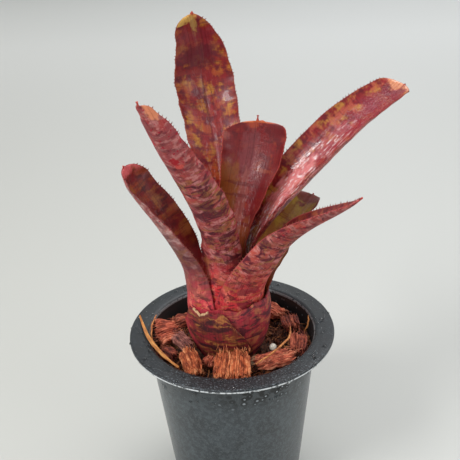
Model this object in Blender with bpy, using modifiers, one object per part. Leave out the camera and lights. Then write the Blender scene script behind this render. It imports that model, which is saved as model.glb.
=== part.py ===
"""Potted bromeliad: a young mottled-red plant in a small black nursery pot of pine-bark mix.

The pot stands on the XY plane with its axis on +Z.  Every leaf is one blade that clasps the short
stem with its own sheath; the sheaths are nested like the skins of an onion, so each leaf belongs to
one numbered layer, counted from the outside in.  Every separate piece is its own closed solid.
"""
import math
from collections import namedtuple

import bmesh
import bpy
import numpy as np
from mathutils import Euler, Matrix, Vector

MM = 0.001
CLEARANCE = 0.3 * MM          # air kept between neighbouring pieces

# Pot
POT_HEIGHT = 80 * MM
RIM_RADIUS = 45 * MM          # outermost edge of the flared lip
BODY_TOP_RADIUS = 37.5 * MM   # outside of the wall, just under the lip
BASE_RADIUS = 29.6 * MM
POT_WALL = 1.3 * MM
BASE_THICKNESS = 1.8 * MM
LIP_THICKNESS = 1.6 * MM
LIP_DROP = 2.6 * MM           # height of the lip's rolled outer edge
POT_STEPS = 60
DRAIN_HOLES = 8
DRAIN_HOLE_RADIUS = 2.5 * MM
DRAIN_RING_RADIUS = 19 * MM

# Growing mix, roots and stem
MIX_TOP = 71 * MM             # at the pot wall; the mix dips towards the plant
MIX_DIP = 6 * MM
MIX_SLOPE = 0.06              # rise towards the front (-Y)
WELL_RADIUS = 13 * MM
WELL_FLOOR = 34 * MM
MIX_STEPS = 36
STEM_TOP = 99 * MM
STEM_RADIUS = 4.6 * MM

# Leaves
LEAF_THICKNESS = 0.75 * MM
LAYER_PITCH = 1.15 * MM       # from the outside of one sheath to the outside of the next one in
ROWS = 20                     # loft sections along a leaf
COLUMNS = 11                  # points across each section
RELEASE = 12                  # millimetres over which a blade swings free above its sheath

# Outside of the bulb that the clasping sheaths make: height and radius, from the foot up.
BULB = [(66, 11.5), (70, 13.6), (75, 15.9), (82, 18), (90, 19.2), (96, 19.3), (106, 18), (116, 16.6), (130, 15.5)]
LEFT_SWELL = 1.6              # millimetres by which the bulb is fuller on its -X side

# A leaf stands in the vertical plane at its azimuth (degrees from +X towards +Y).
# sheath: (height, half wrap angle) of the clasping part, which follows its layer of the bulb.
# blade:  (distance from the axis, height, half width along the arc, half trough angle, sideways turn,
#          roll) of each loft section from the end of the sheath to the tip.  Millimetres and degrees.
Leaf = namedtuple("Leaf", "name azimuth layer sheath blade colour")

LEAVES = [
    Leaf("leaf_back_tall", 100, 7,
         [(78, 95), (92, 85), (104, 50)],
         [(9.6, 118, 5.5, 32, 0, 0), (17, 134, 10, 40, -3, 0), (25, 147, 12, 46, -3, 0),
          (35, 159.5, 13.5, 46, -2, 0), (45, 171, 14.5, 46, -1, 0), (48.5, 183, 14, 42, 0, 0),
          (47, 194, 11.5, 38, 1, 0), (44, 202, 8.5, 34, 3, 0), (41.5, 208, 2, 30, 5, 0)],
         (0.24, 0.035, 0.03)),
    Leaf("leaf_front_left", 241, 5,
         [(74, 95), (88, 76), (100, 50)],
         [(12.6, 119, 10.2, 64, 9, 0), (19.5, 137, 12.2, 82, 6, 0), (31, 156, 11.2, 85, 2.6, 0),
          (40.5, 170, 9, 80, 1.4, 0), (46.5, 180, 6.8, 66, 1, 0), (49.6, 186.5, 4, 50, 0, 0),
          (51, 190, 1.7, 38, -1, 0)],
         (0.34, 0.11, 0.12)),
    Leaf("leaf_far_left", 181, 2,
         [(71, 85), (83, 76), (94, 68)],
         [(18.9, 108, 16, 64, 0, 2), (22.6, 119, 15, 76, 0, -2), (29.4, 133, 13.3, 74, 0, -11),
          (34.9, 142.5, 11.6, 66, 0, -15), (38.2, 150, 9.4, 56, 0, -18), (39.6, 155.6, 3, 42, 0, -20)],
         (0.16, 0.04, 0.03)),
    Leaf("leaf_centre_cup", 54, 8,
         [(81, 95), (94, 82), (106, 58)],
         [(8.4, 118, 6.4, 56, 2, 0), (12.3, 129, 11, 74, 3, 6), (16.6, 142, 13.6, 68, 1, 18),
          (21, 152, 14.8, 55, 0, 22), (23.4, 159.5, 14.2, 48, 0, 22), (24.4, 164, 11.6, 42, 0, 22),
          (24.7, 166.8, 5, 37, 0, 22)],
         (0.26, 0.05, 0.035)),
    Leaf("leaf_right_long", 12, 6,
         [(76, 95), (90, 80), (104, 58)],
         [(11, 118, 10, 52, 0, 0), (18, 129.5, 13, 58, 0, 5), (27, 140, 14, 62, 0, 12),
          (48, 160, 13.5, 62, 0, 15), (60, 169.5, 12, 58, 0, 15), (68.5, 175.2, 10, 52, 0, 15),
          (74.7, 180, 3.2, 42, 0, 15)],
         (0.3, 0.06, 0.04)),
    Leaf("leaf_right_front", -37, 4,
         [(72, 104), (83, 96), (93, 90)],
         [(16.6, 104, 18.5, 76, -2, 0), (22.5, 115, 17, 76, 0, 0), (30, 127, 13.6, 80, 0, 0),
          (39, 136, 9.5, 75, 0, 0), (50, 144.5, 5.5, 60, 0, 0), (55.5, 149, 2.8, 45, 0, 0),
          (58.5, 152, 1.3, 30, 0, 0)],
         (0.36, 0.1, 0.1)),
    Leaf("leaf_back_right", 36, 3,
         [(72, 85), (82, 66), (92, 46)],
         [(19, 103, 12.5, 38, 0, 0), (29, 112, 13, 50, 0, 0), (37, 119.4, 12.5, 54, 0, 0),
          (43.5, 125, 10.5, 48, 0, 0), (48.4, 129.2, 3.2, 40, 0, 0)],
         (0.2, 0.12, 0.03)),
    Leaf("leaf_heart", 150, 9,
         [(84, 125), (95, 122), (106, 118)],
         [(5.8, 114, 11, 108, 0, 0), (4.6, 121, 7.5, 95, 0, 0), (3.4, 127, 3.4, 65, 0, 0),
          (3, 130, 1.2, 40, 0, 0)],
         (0.22, 0.1, 0.03)),
]

# Old sheaths without a blade at the foot of the plant; the top edge waves by ragged millimetres.
OldSheath = namedtuple("OldSheath", "name azimuth layer sheath ragged colour")

OLD_SHEATHS = [
    OldSheath("old_sheath_smooth", -58, 1, [(69, 96), (79, 93), (89, 90), (98, 84)], 0.6, (0.3, 0.05, 0.06)),
    OldSheath("old_sheath_torn", 238, 0, [(68, 72), (77, 60), (87, 46), (97, 32)], 0.9, (0.25, 0.09, 0.03)),
]

# Bark chips lying on the mix: centre x, y, z, then length, width and thickness in millimetres, then
# the turn about Z and the tilt along and across the grain in degrees.
CHIPS = {
    "chip_fan": (-29.6, 3.4, 75.6, 8, 10.4, 4.4, 188, 0, -8),
    "chip_long_left": (-21.8, -7.4, 76.8, 12.5, 4.6, 5, 118, 5, -8),
    "chip_low_left": (-27.9, -13.2, 75.4, 8, 6.6, 4.2, 130, 6, 5),
    "chip_crumbly": (-17.4, -22, 77.2, 14.5, 7, 5.2, 106, -10, 12),
    "chip_small_front": (-10, -21, 76.3, 4.6, 4.4, 4, 60, 8, 5),
    "chip_front": (-0.4, -27, 78, 14.5, 13.4, 5, 86, -12, 3),
    "chip_wedge": (17, -22.7, 77.4, 17, 9.6, 5.2, 27, 4, -16),
    "chip_right": (28.2, -11.4, 76.4, 12, 7, 5, 80, -8, 8),
    "chip_right_back": (27, 7.5, 74.4, 11.5, 8, 4.4, 95, 5, -6),
    "chip_back_right": (19.5, 20.5, 73.4, 12.5, 9, 4.2, 135, -5, 5),
    "chip_back": (5, 27.6, 73, 13.5, 9, 4.2, 5, 6, 6),
    "chip_back_left": (-9.5, 26.3, 73, 12, 8.5, 4.4, 165, -6, 4),
    "chip_left_back": (-22, 18.5, 74.2, 12.5, 8, 4.6, 40, 8, -6),
}
CHIP_SEED = 11

# Loose fibres: points along the fibre in millimetres, then its radius.
FIBRES = {
    "fibre_left_arc": ([(-34.9, -7, 76.8), (-35.3, -1, 81.6), (-34, 8, 82)], 0.4),
    "fibre_front_long": ([(25.5, -4, 80.4), (24, -15, 83), (18, -25, 84), (9, -32, 82.2)], 0.45),
    "fibre_right": ([(31.8, 1, 72), (33.6, -1.5, 80), (33.9, -1, 84)], 0.35),
}
SLIVER = [(-41.5, 8, 82.2), (-36.5, -7, 81.2), (-29.5, -20, 80.8), (-22, -29.5, 80.6)]
SLIVER_HALF_WIDTH = 1.1 * MM
SLIVER_THICKNESS = 0.6 * MM
PRILL_RADIUS = 1.6 * MM
PRILL_PLACE = (17.5 * MM, -9.5 * MM, 74.2 * MM)


def clear_scene():
    for thing in list(bpy.data.objects):
        bpy.data.objects.remove(thing, do_unlink=True)


def make_collection(name):
    collection = bpy.data.collections.new(name)
    bpy.context.scene.collection.children.link(collection)
    return collection


def make_material(name, colour, roughness, metallic=0.0):
    material = bpy.data.materials.new(name)
    material.use_nodes = True
    shader = material.node_tree.nodes["Principled BSDF"]
    shader.inputs["Base Color"].default_value = (*colour, 1.0)
    shader.inputs["Roughness"].default_value = roughness
    shader.inputs["Metallic"].default_value = metallic
    return material


def add_object(name, data, material, collection):
    thing = bpy.data.objects.new(name, data)
    collection.objects.link(thing)
    data.materials.append(material)
    return thing


def smooth_shade(mesh, sharp_degrees=40):
    mesh.shade_smooth()
    mesh.set_sharp_from_angle(angle=math.radians(sharp_degrees))


def as_mesh(thing):
    """Swap an object's modifiers or curve for the mesh they make, its seams welded."""
    bpy.context.view_layer.update()
    graph = bpy.context.evaluated_depsgraph_get()
    mesh = bpy.data.meshes.new_from_object(thing.evaluated_get(graph))
    work = bmesh.new()
    work.from_mesh(mesh)
    bmesh.ops.remove_doubles(work, verts=work.verts, dist=0.01 * MM)
    bmesh.ops.recalc_face_normals(work, faces=work.faces)
    work.to_mesh(mesh)
    work.free()
    solid = bpy.data.objects.new(thing.name + "_solid", mesh)
    solid.matrix_world = thing.matrix_world
    for collection in thing.users_collection:
        collection.objects.link(solid)
    name = thing.name
    bpy.data.objects.remove(thing, do_unlink=True)
    solid.name = name
    return solid


def turned(name, profile, steps, material, collection):
    """A solid of revolution: the profile holds (radius, height) and runs down the outer side."""
    mesh = bpy.data.meshes.new(name)
    work = bmesh.new()
    points = [work.verts.new((radius, 0, height)) for radius, height in profile]
    for first, second in zip(points, points[1:]):
        work.edges.new((first, second))
    work.to_mesh(mesh)
    work.free()
    thing = add_object(name, mesh, material, collection)
    screw = thing.modifiers.new("turn", "SCREW")
    screw.steps = steps
    screw.render_steps = steps
    screw.use_merge_vertices = True
    screw.merge_threshold = 0.01 * MM
    return thing


def arc_points(centre, radius, start, end, count):
    """Points of a rounded profile corner, by angle in degrees from the outward direction."""
    angles = np.radians(np.linspace(start, end, count))
    return [(centre[0] + radius * math.cos(a), centre[1] + radius * math.sin(a)) for a in angles]


def wall_radius(height):
    """Outside radius of the tapered pot wall."""
    return np.interp(height, [0, POT_HEIGHT], [BASE_RADIUS, BODY_TOP_RADIUS])


def build_pot(collection, cutters):
    plastic = make_material("pot_plastic", (0.018, 0.022, 0.025), 0.35)
    under_lip = POT_HEIGHT - LIP_DROP - 1.2 * MM
    throat = BODY_TOP_RADIUS - POT_WALL
    edge = LIP_DROP / 2
    profile = [(0, BASE_THICKNESS), (wall_radius(BASE_THICKNESS) - POT_WALL, BASE_THICKNESS)]
    profile += [(wall_radius(POT_HEIGHT * step) - POT_WALL, POT_HEIGHT * step) for step in (0.3, 0.6, 0.9)]
    profile += arc_points((throat + 2 * MM, POT_HEIGHT - 2 * MM), 2 * MM, 180, 90, 5)
    profile += arc_points((RIM_RADIUS - edge, POT_HEIGHT - edge), edge, 90, -90, 9)
    profile += [(RIM_RADIUS - edge - 1.2 * MM, POT_HEIGHT - LIP_THICKNESS)]
    profile += [(BODY_TOP_RADIUS + 1.2 * MM, POT_HEIGHT - LIP_THICKNESS - 0.4 * MM)]
    profile += [(wall_radius(under_lip), under_lip)]
    profile += [(wall_radius(POT_HEIGHT * step), POT_HEIGHT * step) for step in (0.8, 0.5, 0.2)]
    profile += arc_points((BASE_RADIUS - 1 * MM, 1 * MM), 1 * MM, 0, -90, 4) + [(0, 0)]
    pot = turned("pot", profile, POT_STEPS, plastic, collection)
    for number in range(DRAIN_HOLES):
        angle = 2 * math.pi * number / DRAIN_HOLES
        place = (DRAIN_RING_RADIUS * math.cos(angle), DRAIN_RING_RADIUS * math.sin(angle), BASE_THICKNESS / 2)
        cutter = drain_cutter(f"drain_hole_{number + 1}", place, cutters)
        cut = pot.modifiers.new(cutter.name, "BOOLEAN")
        cut.operation = "DIFFERENCE"
        cut.object = cutter
    return pot


def drain_cutter(name, place, cutters):
    mesh = bpy.data.meshes.new(name)
    work = bmesh.new()
    bmesh.ops.create_cone(work, cap_ends=True, segments=14, radius1=DRAIN_HOLE_RADIUS,
                          radius2=DRAIN_HOLE_RADIUS, depth=3 * BASE_THICKNESS)
    work.to_mesh(mesh)
    work.free()
    cutter = bpy.data.objects.new(name, mesh)
    cutter.location = place
    cutter.hide_render = True
    cutter.display_type = "WIRE"
    cutters.objects.link(cutter)
    return cutter


def build_mix(collection):
    """Bark crumbs packed between the roots and the pot wall, with a lumpy top."""
    crumbs = make_material("bark_mix", (0.05, 0.025, 0.016), 0.9)
    floor = BASE_THICKNESS + CLEARANCE
    inset = POT_WALL + CLEARANCE + 0.1 * MM
    reach = wall_radius(MIX_TOP) - inset - WELL_RADIUS
    profile = [(0, WELL_FLOOR), (WELL_RADIUS * 0.7, WELL_FLOOR)]
    profile += [(WELL_RADIUS + reach * step, MIX_TOP - MIX_DIP * (1 - step) ** 2)
                for step in (0, 0.2, 0.4, 0.6, 0.8, 1)]
    profile += [(wall_radius(height * MM) - inset, height * MM) for height in (50, 28)]
    profile += [(wall_radius(floor) - inset, floor), (0, floor)]
    mix = as_mesh(turned("growing_mix", profile, MIX_STEPS, crumbs, collection))
    for vertex in mix.data.vertices:
        x, y, z = vertex.co / MM
        if z > (MIX_TOP - MIX_DIP) / MM - 1:
            lumps = math.sin(0.55 * x + 1) * math.sin(0.5 * y) + 0.6 * math.sin(0.9 * x - 0.7 * y)
            vertex.co.z += (0.5 * lumps - MIX_SLOPE * y) * MM
    return mix


def build_root_ball(collection):
    roots = make_material("roots", (0.16, 0.1, 0.06), 0.9)
    gap = CLEARANCE + 0.2 * MM
    foot = WELL_FLOOR + gap
    top = MIX_TOP - MIX_DIP - 3 * MM
    profile = [(0, top + 1.2 * MM), (WELL_RADIUS * 0.5, top + 0.8 * MM), (WELL_RADIUS * 0.9 - gap, top - 1 * MM)]
    steps = np.linspace(0.9, 0.05, 7)
    profile += [((WELL_RADIUS * (0.7 + 0.28 * step) - gap) * (0.95 + 0.03 * math.sin(9 * step)),
                 foot + (top - foot) * step) for step in steps]
    profile += [(WELL_RADIUS * 0.4, foot), (0, foot)]
    return turned("root_ball", profile, 24, roots, collection)


def build_stem(collection):
    core = make_material("stem_core", (0.35, 0.22, 0.14), 0.7)
    foot = MIX_TOP - MIX_DIP - 1.8 * MM + CLEARANCE
    profile = [(0, STEM_TOP)] + arc_points((STEM_RADIUS - 3 * MM, STEM_TOP - 2 * MM), 2 * MM, 80, 0, 4)
    profile += [(STEM_RADIUS - 0.4 * MM, STEM_TOP - 12 * MM), (STEM_RADIUS, foot + 8 * MM)]
    profile += [(STEM_RADIUS, foot), (0, foot)]
    return turned("stem", profile, 20, core, collection)


def layer_radius(layer, height, azimuth):
    """Outside radius, in millimetres, of one layer of the bulb; the azimuth is in radians."""
    heights, radii = smooth_rows(BULB, 60).T
    swell = LEFT_SWELL * np.maximum(-np.cos(azimuth), 0) ** 2
    return np.interp(height, heights, radii) + swell - layer * LAYER_PITCH / MM


def smooth_rows(stations, count):
    """Rows that pass smoothly through the stations (a Catmull-Rom curve in every column)."""
    table = np.array(stations, float)
    table = np.vstack([2 * table[0] - table[1], table, 2 * table[-1] - table[-2]])
    places = np.linspace(0, len(stations) - 1, count)
    index = np.minimum(places.astype(int), len(stations) - 2)
    part = (places - index)[:, None]
    before, start, end, after = (table[index + shift] for shift in range(4))
    return 0.5 * (2 * start + (end - before) * part
                  + (2 * before - 5 * start + 4 * end - after) * part ** 2
                  + (3 * start - before - 3 * end + after) * part ** 3)


def leaf_grid(leaf, rows=ROWS, columns=COLUMNS):
    """Points of the leaf's outer surface: each row is an arc across the leaf, hollow side to the axis."""
    stations = []
    for height, wrap in leaf.sheath:
        radius = layer_radius(leaf.layer, height, math.radians(leaf.azimuth))
        stations.append((radius, height, radius, wrap, 0, 0))
    for distance, height, half_width, trough, turn, roll in getattr(leaf, "blade", []):
        stations.append((distance, height, half_width / math.radians(trough), trough, turn, roll))
    distance, height, arc_radius, trough, turn, roll = smooth_rows(stations, rows).T
    azimuth = np.radians(leaf.azimuth + turn)
    level = np.zeros(rows)
    midrib = np.stack([distance * np.cos(azimuth), distance * np.sin(azimuth), height], 1)
    along = np.gradient(midrib, axis=0)
    along /= np.linalg.norm(along, axis=1)[:, None]
    across = np.stack([-np.sin(azimuth), np.cos(azimuth), level], 1)
    across -= np.sum(across * along, 1)[:, None] * along
    across /= np.linalg.norm(across, axis=1)[:, None]
    inward = np.cross(along, across)
    cos_roll = np.cos(np.radians(roll))[:, None]
    sin_roll = np.sin(np.radians(roll))[:, None]
    across, inward = across * cos_roll + inward * sin_roll, inward * cos_roll - across * sin_roll
    angle = np.radians(trough)[:, None] * np.linspace(-1, 1, columns)
    sideways = (arc_radius[:, None] * np.sin(angle))[..., None] * across[:, None]
    hollow = (arc_radius[:, None] * (1 - np.cos(angle)))[..., None] * inward[:, None]
    return hug_bulb(midrib[:, None] + sideways + hollow, leaf) * MM


def hug_bulb(grid, leaf):
    """Hold the clasping part on its own layer, and let the leaf swing out only above its sheath."""
    radius = np.hypot(grid[..., 0], grid[..., 1])
    layer = layer_radius(leaf.layer, grid[..., 2], np.arctan2(grid[..., 1], grid[..., 0]))
    free = np.clip((grid[..., 2] - leaf.sheath[-1][0]) / RELEASE, 0, 1)
    ease = free * free * (3 - 2 * free)
    held = layer + np.maximum(radius - layer, 0) * ease
    grid[..., :2] *= (held / radius)[..., None]
    return grid


def sheet_mesh(name, grid):
    """An open surface through a grid of points, its normals on the outer side."""
    mesh = bpy.data.meshes.new(name)
    work = bmesh.new()
    verts = [[work.verts.new(point) for point in row] for row in grid]
    for lower, upper in zip(verts, verts[1:]):
        for column in range(len(lower) - 1):
            work.faces.new((lower[column], lower[column + 1], upper[column + 1], upper[column]))
    work.to_mesh(mesh)
    work.free()
    return mesh


def solid_sheet(name, grid, thickness, material, collection):
    thing = add_object(name, sheet_mesh(name, grid), material, collection)
    shell = thing.modifiers.new("thickness", "SOLIDIFY")
    shell.thickness = thickness
    shell.offset = -1
    smooth_shade(thing.data)
    return thing


def build_leaf(leaf, collection):
    skin = make_material(leaf.name + "_skin", leaf.colour, 0.35)
    return solid_sheet(leaf.name, leaf_grid(leaf), LEAF_THICKNESS, skin, collection)


def build_old_sheath(sheath, collection):
    """A withered sheath: its upper rows are pushed up and down so that the top edge is ragged."""
    skin = make_material(sheath.name + "_skin", sheath.colour, 0.6)
    grid = leaf_grid(sheath, rows=10, columns=17)
    across = np.linspace(-1, 1, grid.shape[1])
    wave = np.sin(7 * across) + 0.6 * np.sin(17 * across + 1)
    share = np.linspace(0, 1, grid.shape[0])[:, None] ** 3
    grid[:, :, 2] += share * wave * sheath.ragged * MM
    return solid_sheet(sheath.name, grid, LEAF_THICKNESS, skin, collection)


def build_chip(name, numbers, random, collection):
    """A split piece of bark: a box with every corner chopped off a little differently."""
    bark = make_material(name + "_bark", (0.3, 0.12, 0.06), 0.85)
    x, y, z, length, width, thickness, turn, tilt_along, tilt_across = numbers
    half = np.array([length, width, thickness]) * MM / 2
    corners = np.array([(i, j, k) for i in (-1, 1) for j in (-1, 1) for k in (-1, 1)], float)
    mesh = bpy.data.meshes.new(name)
    work = bmesh.new()
    for corner in corners:
        for axis in range(3):
            pull = np.ones(3)
            pull[axis] = random.uniform(0.45, 0.8)
            work.verts.new(Vector(corner * half * pull))
    hull = bmesh.ops.convex_hull(work, input=work.verts)
    loose = [item for item in hull["geom_interior"] if isinstance(item, bmesh.types.BMVert)]
    bmesh.ops.delete(work, geom=loose, context="VERTS")
    bmesh.ops.recalc_face_normals(work, faces=work.faces)
    work.to_mesh(mesh)
    work.free()
    chip = add_object(name, mesh, bark, collection)
    chip.location = Vector((x, y, z)) * MM
    chip.rotation_euler = Euler([math.radians(a) for a in (tilt_across, tilt_along, turn)])
    return chip


def build_fibre(name, points, radius, collection):
    fibre_skin = make_material(name + "_skin", (0.55, 0.25, 0.08), 0.7)
    curve = bpy.data.curves.new(name, "CURVE")
    curve.dimensions = "3D"
    curve.bevel_depth = radius * MM
    curve.bevel_resolution = 2
    curve.use_fill_caps = True
    spline = curve.splines.new("POLY")
    path = smooth_rows(points, 12)
    spline.points.add(len(path) - 1)
    for knot, place in zip(spline.points, path):
        knot.co = (*(place * MM), 1)
    return as_mesh(add_object(name, curve, fibre_skin, collection))


def build_sliver(collection):
    """A dry strip of old leaf, wide in the middle and pointed at both ends."""
    straw = make_material("dry_sliver_skin", (0.6, 0.3, 0.07), 0.6)
    path = smooth_rows(SLIVER, 14) * MM
    run = np.gradient(path, axis=0)
    side = np.cross(run, (0, 0, 1))
    side /= np.linalg.norm(side, axis=1)[:, None]
    swell = 0.25 + 0.75 * np.sin(np.linspace(0.1, math.pi - 0.1, len(path)))
    reach = np.linspace(-1, 1, 3)[None, :, None] * (swell * SLIVER_HALF_WIDTH)[:, None, None]
    grid = path[:, None] + reach * side[:, None]
    return solid_sheet("dry_sliver", grid, SLIVER_THICKNESS, straw, collection)


def build_prill(collection):
    coat = make_material("prill_coat", (0.8, 0.8, 0.72), 0.4)
    mesh = bpy.data.meshes.new("feed_prill")
    work = bmesh.new()
    bmesh.ops.create_uvsphere(work, u_segments=14, v_segments=9, radius=PRILL_RADIUS)
    work.to_mesh(mesh)
    work.free()
    prill = add_object("feed_prill", mesh, coat, collection)
    prill.location = PRILL_PLACE
    return prill


def main():
    clear_scene()
    plant = make_collection("potted_bromeliad")
    cutters = make_collection("cutters")
    build_pot(plant, cutters)
    build_mix(plant)
    build_root_ball(plant)
    build_stem(plant)
    for leaf in LEAVES:
        build_leaf(leaf, plant)
    for sheath in OLD_SHEATHS:
        build_old_sheath(sheath, plant)
    random = np.random.default_rng(CHIP_SEED)
    for name, numbers in CHIPS.items():
        build_chip(name, numbers, random, plant)
    for name, (points, radius) in FIBRES.items():
        build_fibre(name, points, radius, plant)
    build_sliver(plant)
    build_prill(plant)


main()
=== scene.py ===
"""Looks for the potted bromeliad: mottled leaves, withered sheaths, bark mix and nursery pot.

All lengths inside the leaf, bark and fibre tables are millimetres; the pieces are built in metres.
The pot stands on the XY plane with its axis on +Z, as in the frame.
"""
import math
from collections import namedtuple

import bmesh
import bpy
import numpy as np
from bpy.props import FloatProperty, FloatVectorProperty, IntProperty, PointerProperty
from mathutils import Euler, Matrix, Vector, noise


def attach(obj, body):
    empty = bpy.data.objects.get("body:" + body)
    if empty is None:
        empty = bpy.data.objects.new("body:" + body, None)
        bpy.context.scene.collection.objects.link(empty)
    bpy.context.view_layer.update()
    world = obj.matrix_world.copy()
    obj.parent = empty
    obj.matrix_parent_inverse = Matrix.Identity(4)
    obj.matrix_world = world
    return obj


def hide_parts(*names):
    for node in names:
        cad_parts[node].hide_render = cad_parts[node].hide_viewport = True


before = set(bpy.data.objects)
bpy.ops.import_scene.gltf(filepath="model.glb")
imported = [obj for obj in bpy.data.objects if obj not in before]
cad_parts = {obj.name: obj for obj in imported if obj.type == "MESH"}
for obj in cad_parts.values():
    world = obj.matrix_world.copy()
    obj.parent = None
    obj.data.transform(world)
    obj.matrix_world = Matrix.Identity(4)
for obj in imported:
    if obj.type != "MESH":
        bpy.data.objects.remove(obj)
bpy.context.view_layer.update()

bl_info = {
    "name": "Potted Bromeliad",
    "version": (1, 0, 0),
    "blender": (4, 5, 0),
    "location": "View3D > Sidebar > Bromeliad",
    "description": "Builds a mottled red bromeliad in a small nursery pot of bark mix",
    "category": "Add Mesh",
}

MM = 0.001
BODY = "root"


def tone(red, green, blue):
    """A linear colour from everyday 0 to 255 values."""
    return tuple(((value / 255 + 0.055) / 1.055) ** 2.4 for value in (red, green, blue))


# Bulb of nested sheaths: height and radius of its outside, from the foot up.
BULB = [(66, 11.5), (70, 13.6), (75, 15.9), (82, 18), (90, 19.2), (96, 19.3), (106, 18), (116, 16.6),
        (130, 15.5)]
LEFT_SWELL = 1.6  # how much fatter the bulb is on its left
LAYER_PITCH = 1.15  # from one sheath to the next one inside it
RELEASE = 12  # height above its sheath over which a leaf lets go of the bulb
ROW_STEP, TIP_ROWS, COLUMNS = 1.1, 22, 41  # how finely a leaf is divided

# sheath: (height, half wrap angle).  blade: (distance from the axis, height, half width, half trough
# angle, sideways turn, roll).  cap: length over which each side of the tip rounds off, and blunt how
# blunt that side is.  spine: length of the end spine.  crease: depth of the fold along the midrib.
# wave: height of the ripples in the margins.  teeth: the row at which the margin teeth begin.
Leaf = namedtuple("Leaf", "name azimuth layer sheath blade cap blunt spine crease wave teeth")

LEAVES = [
    Leaf("leaf_back_tall", 100, 7,
         [(78, 95), (92, 85), (104, 50)],
         [(9.6, 118, 5.5, 32, 0, 0), (17, 134, 10, 40, -3, 0), (25, 147, 12, 46, -3, 0),
          (35, 159.5, 13.5, 46, -2, 0), (45, 171, 14.5, 46, -1, 0), (48.5, 183, 14, 42, 0, 0),
          (47, 194, 11.5, 38, 1, 0), (44, 202, 10, 34, 3, 0), (41.7, 207.5, 9, 30, 5, 0)],
         (17, 6), (1.7, 2.6), 1.6, 0.5, 0.25, 30),
    Leaf("leaf_front_left", 241, 5,
         [(74, 95), (88, 76), (100, 50)],
         [(12.6, 119, 10.2, 64, 9, 0), (19.5, 137, 12.2, 82, 6, 0), (31, 156, 11.2, 85, 2.6, 0),
          (40.5, 170, 9, 80, 1.4, 0), (46.5, 180, 7.2, 70, 1, 0), (49.6, 186.5, 4.4, 60, 0, 0),
          (51, 190, 3.4, 50, -1, 0)],
         (3, 3), (2.2, 2.2), 1.5, 0.2, 0.35, 40),
    Leaf("leaf_far_left", 181, 2,
         [(71, 85), (83, 76), (94, 68)],
         [(18.9, 108, 16, 64, 0, 2), (22.6, 119, 15, 76, 0, -2), (29.4, 133, 13.3, 74, 0, -11),
          (34.9, 142.5, 11.6, 66, 0, -15), (38.2, 149.5, 10.8, 58, 0, -18), (39.6, 156, 9.8, 48, 0, -20)],
         (7, 7), (2.3, 2.3), 0.6, 0.3, 0.3, 34),
    Leaf("leaf_centre_cup", 54, 8,
         [(81, 95), (94, 82), (106, 58)],
         [(8.4, 118, 6.4, 56, 2, 0), (12.3, 129, 11, 74, 3, 6), (16.6, 142, 13.6, 68, 1, 18),
          (21, 152, 14.8, 55, 0, 22), (23.5, 160, 14.8, 48, 0, 22), (24.7, 166.6, 14, 42, 0, 22)],
         (3, 6), (3, 1.8), 2.4, 0.3, 0.2, 45),
    Leaf("leaf_right_long", 12, 6,
         [(76, 95), (90, 80), (104, 58)],
         [(11, 118, 10, 52, 0, 0), (18, 129.5, 13, 58, 0, 5), (27, 140, 14, 62, 0, 12),
          (48, 160, 13.5, 62, 0, 15), (60, 169.5, 12, 58, 0, 15), (69, 175.2, 10.5, 52, 0, 15),
          (74.7, 179.6, 9, 46, 0, 15)],
         (6, 6), (2.3, 2.3), 1, 0.4, 0.25, 42),
    Leaf("leaf_right_front", -37, 4,
         [(72, 104), (83, 96), (93, 90)],
         [(16.6, 104, 18.5, 76, -2, 0), (22.5, 115, 17, 76, 0, 0), (30, 127, 13.6, 80, 0, 0),
          (39, 136, 9.5, 75, 0, 0), (50, 144.5, 5.5, 60, 0, 0), (55.5, 149, 2.8, 45, 0, 0),
          (58.5, 152, 1.3, 30, 0, 0)],
         (2, 2), (1.6, 1.6), 1, 0.2, 0.2, 34),
    Leaf("leaf_back_right", 36, 3,
         [(72, 85), (82, 66), (92, 46)],
         [(19, 103, 12.5, 38, 0, 0), (29, 112, 13, 50, 0, 0), (37, 119.4, 12.5, 56, 0, 0),
          (43.5, 125, 11.5, 52, 0, 0), (48.4, 129.2, 10, 46, 0, 0)],
         (6, 6), (2.4, 2.4), 0.8, 0.3, 0.3, 30),
    Leaf("leaf_heart", 150, 9,
         [(84, 125), (95, 122), (106, 118)],
         [(5.8, 114, 11, 108, 0, 0), (4.6, 121, 7.5, 95, 0, 0), (3.4, 127, 3.4, 65, 0, 0),
          (3, 130, 1.2, 40, 0, 0)],
         (3, 3), (1.6, 1.6), 0.6, 0.1, 0.1, 60),
]

# ragged: height of the waves in the upper edge.  curl: where that edge curls outwards, as a share of the
# half width towards the right margin.  tuck: how far the upper edge leans in towards the bulb.
OldSheath = namedtuple("OldSheath", "name azimuth layer sheath ragged curl tuck")
OLD_SHEATHS = [
    OldSheath("old_sheath_smooth", -58, 1, [(69, 96), (79, 93), (89, 90), (98, 84)], 0.6, 9, 1.3),
    OldSheath("old_sheath_torn", 238, 0, [(68, 72), (77, 60), (87, 46), (97, 32)], 0.7, 0.25, 0.3),
]

# How far the positive-side margin is tucked in against the layers under it: (height, tuck).
TUCKED = {"leaf_far_left": [(98, 1.5), (102, 2.5), (110, 2.5), (121, 0)]}

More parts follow.
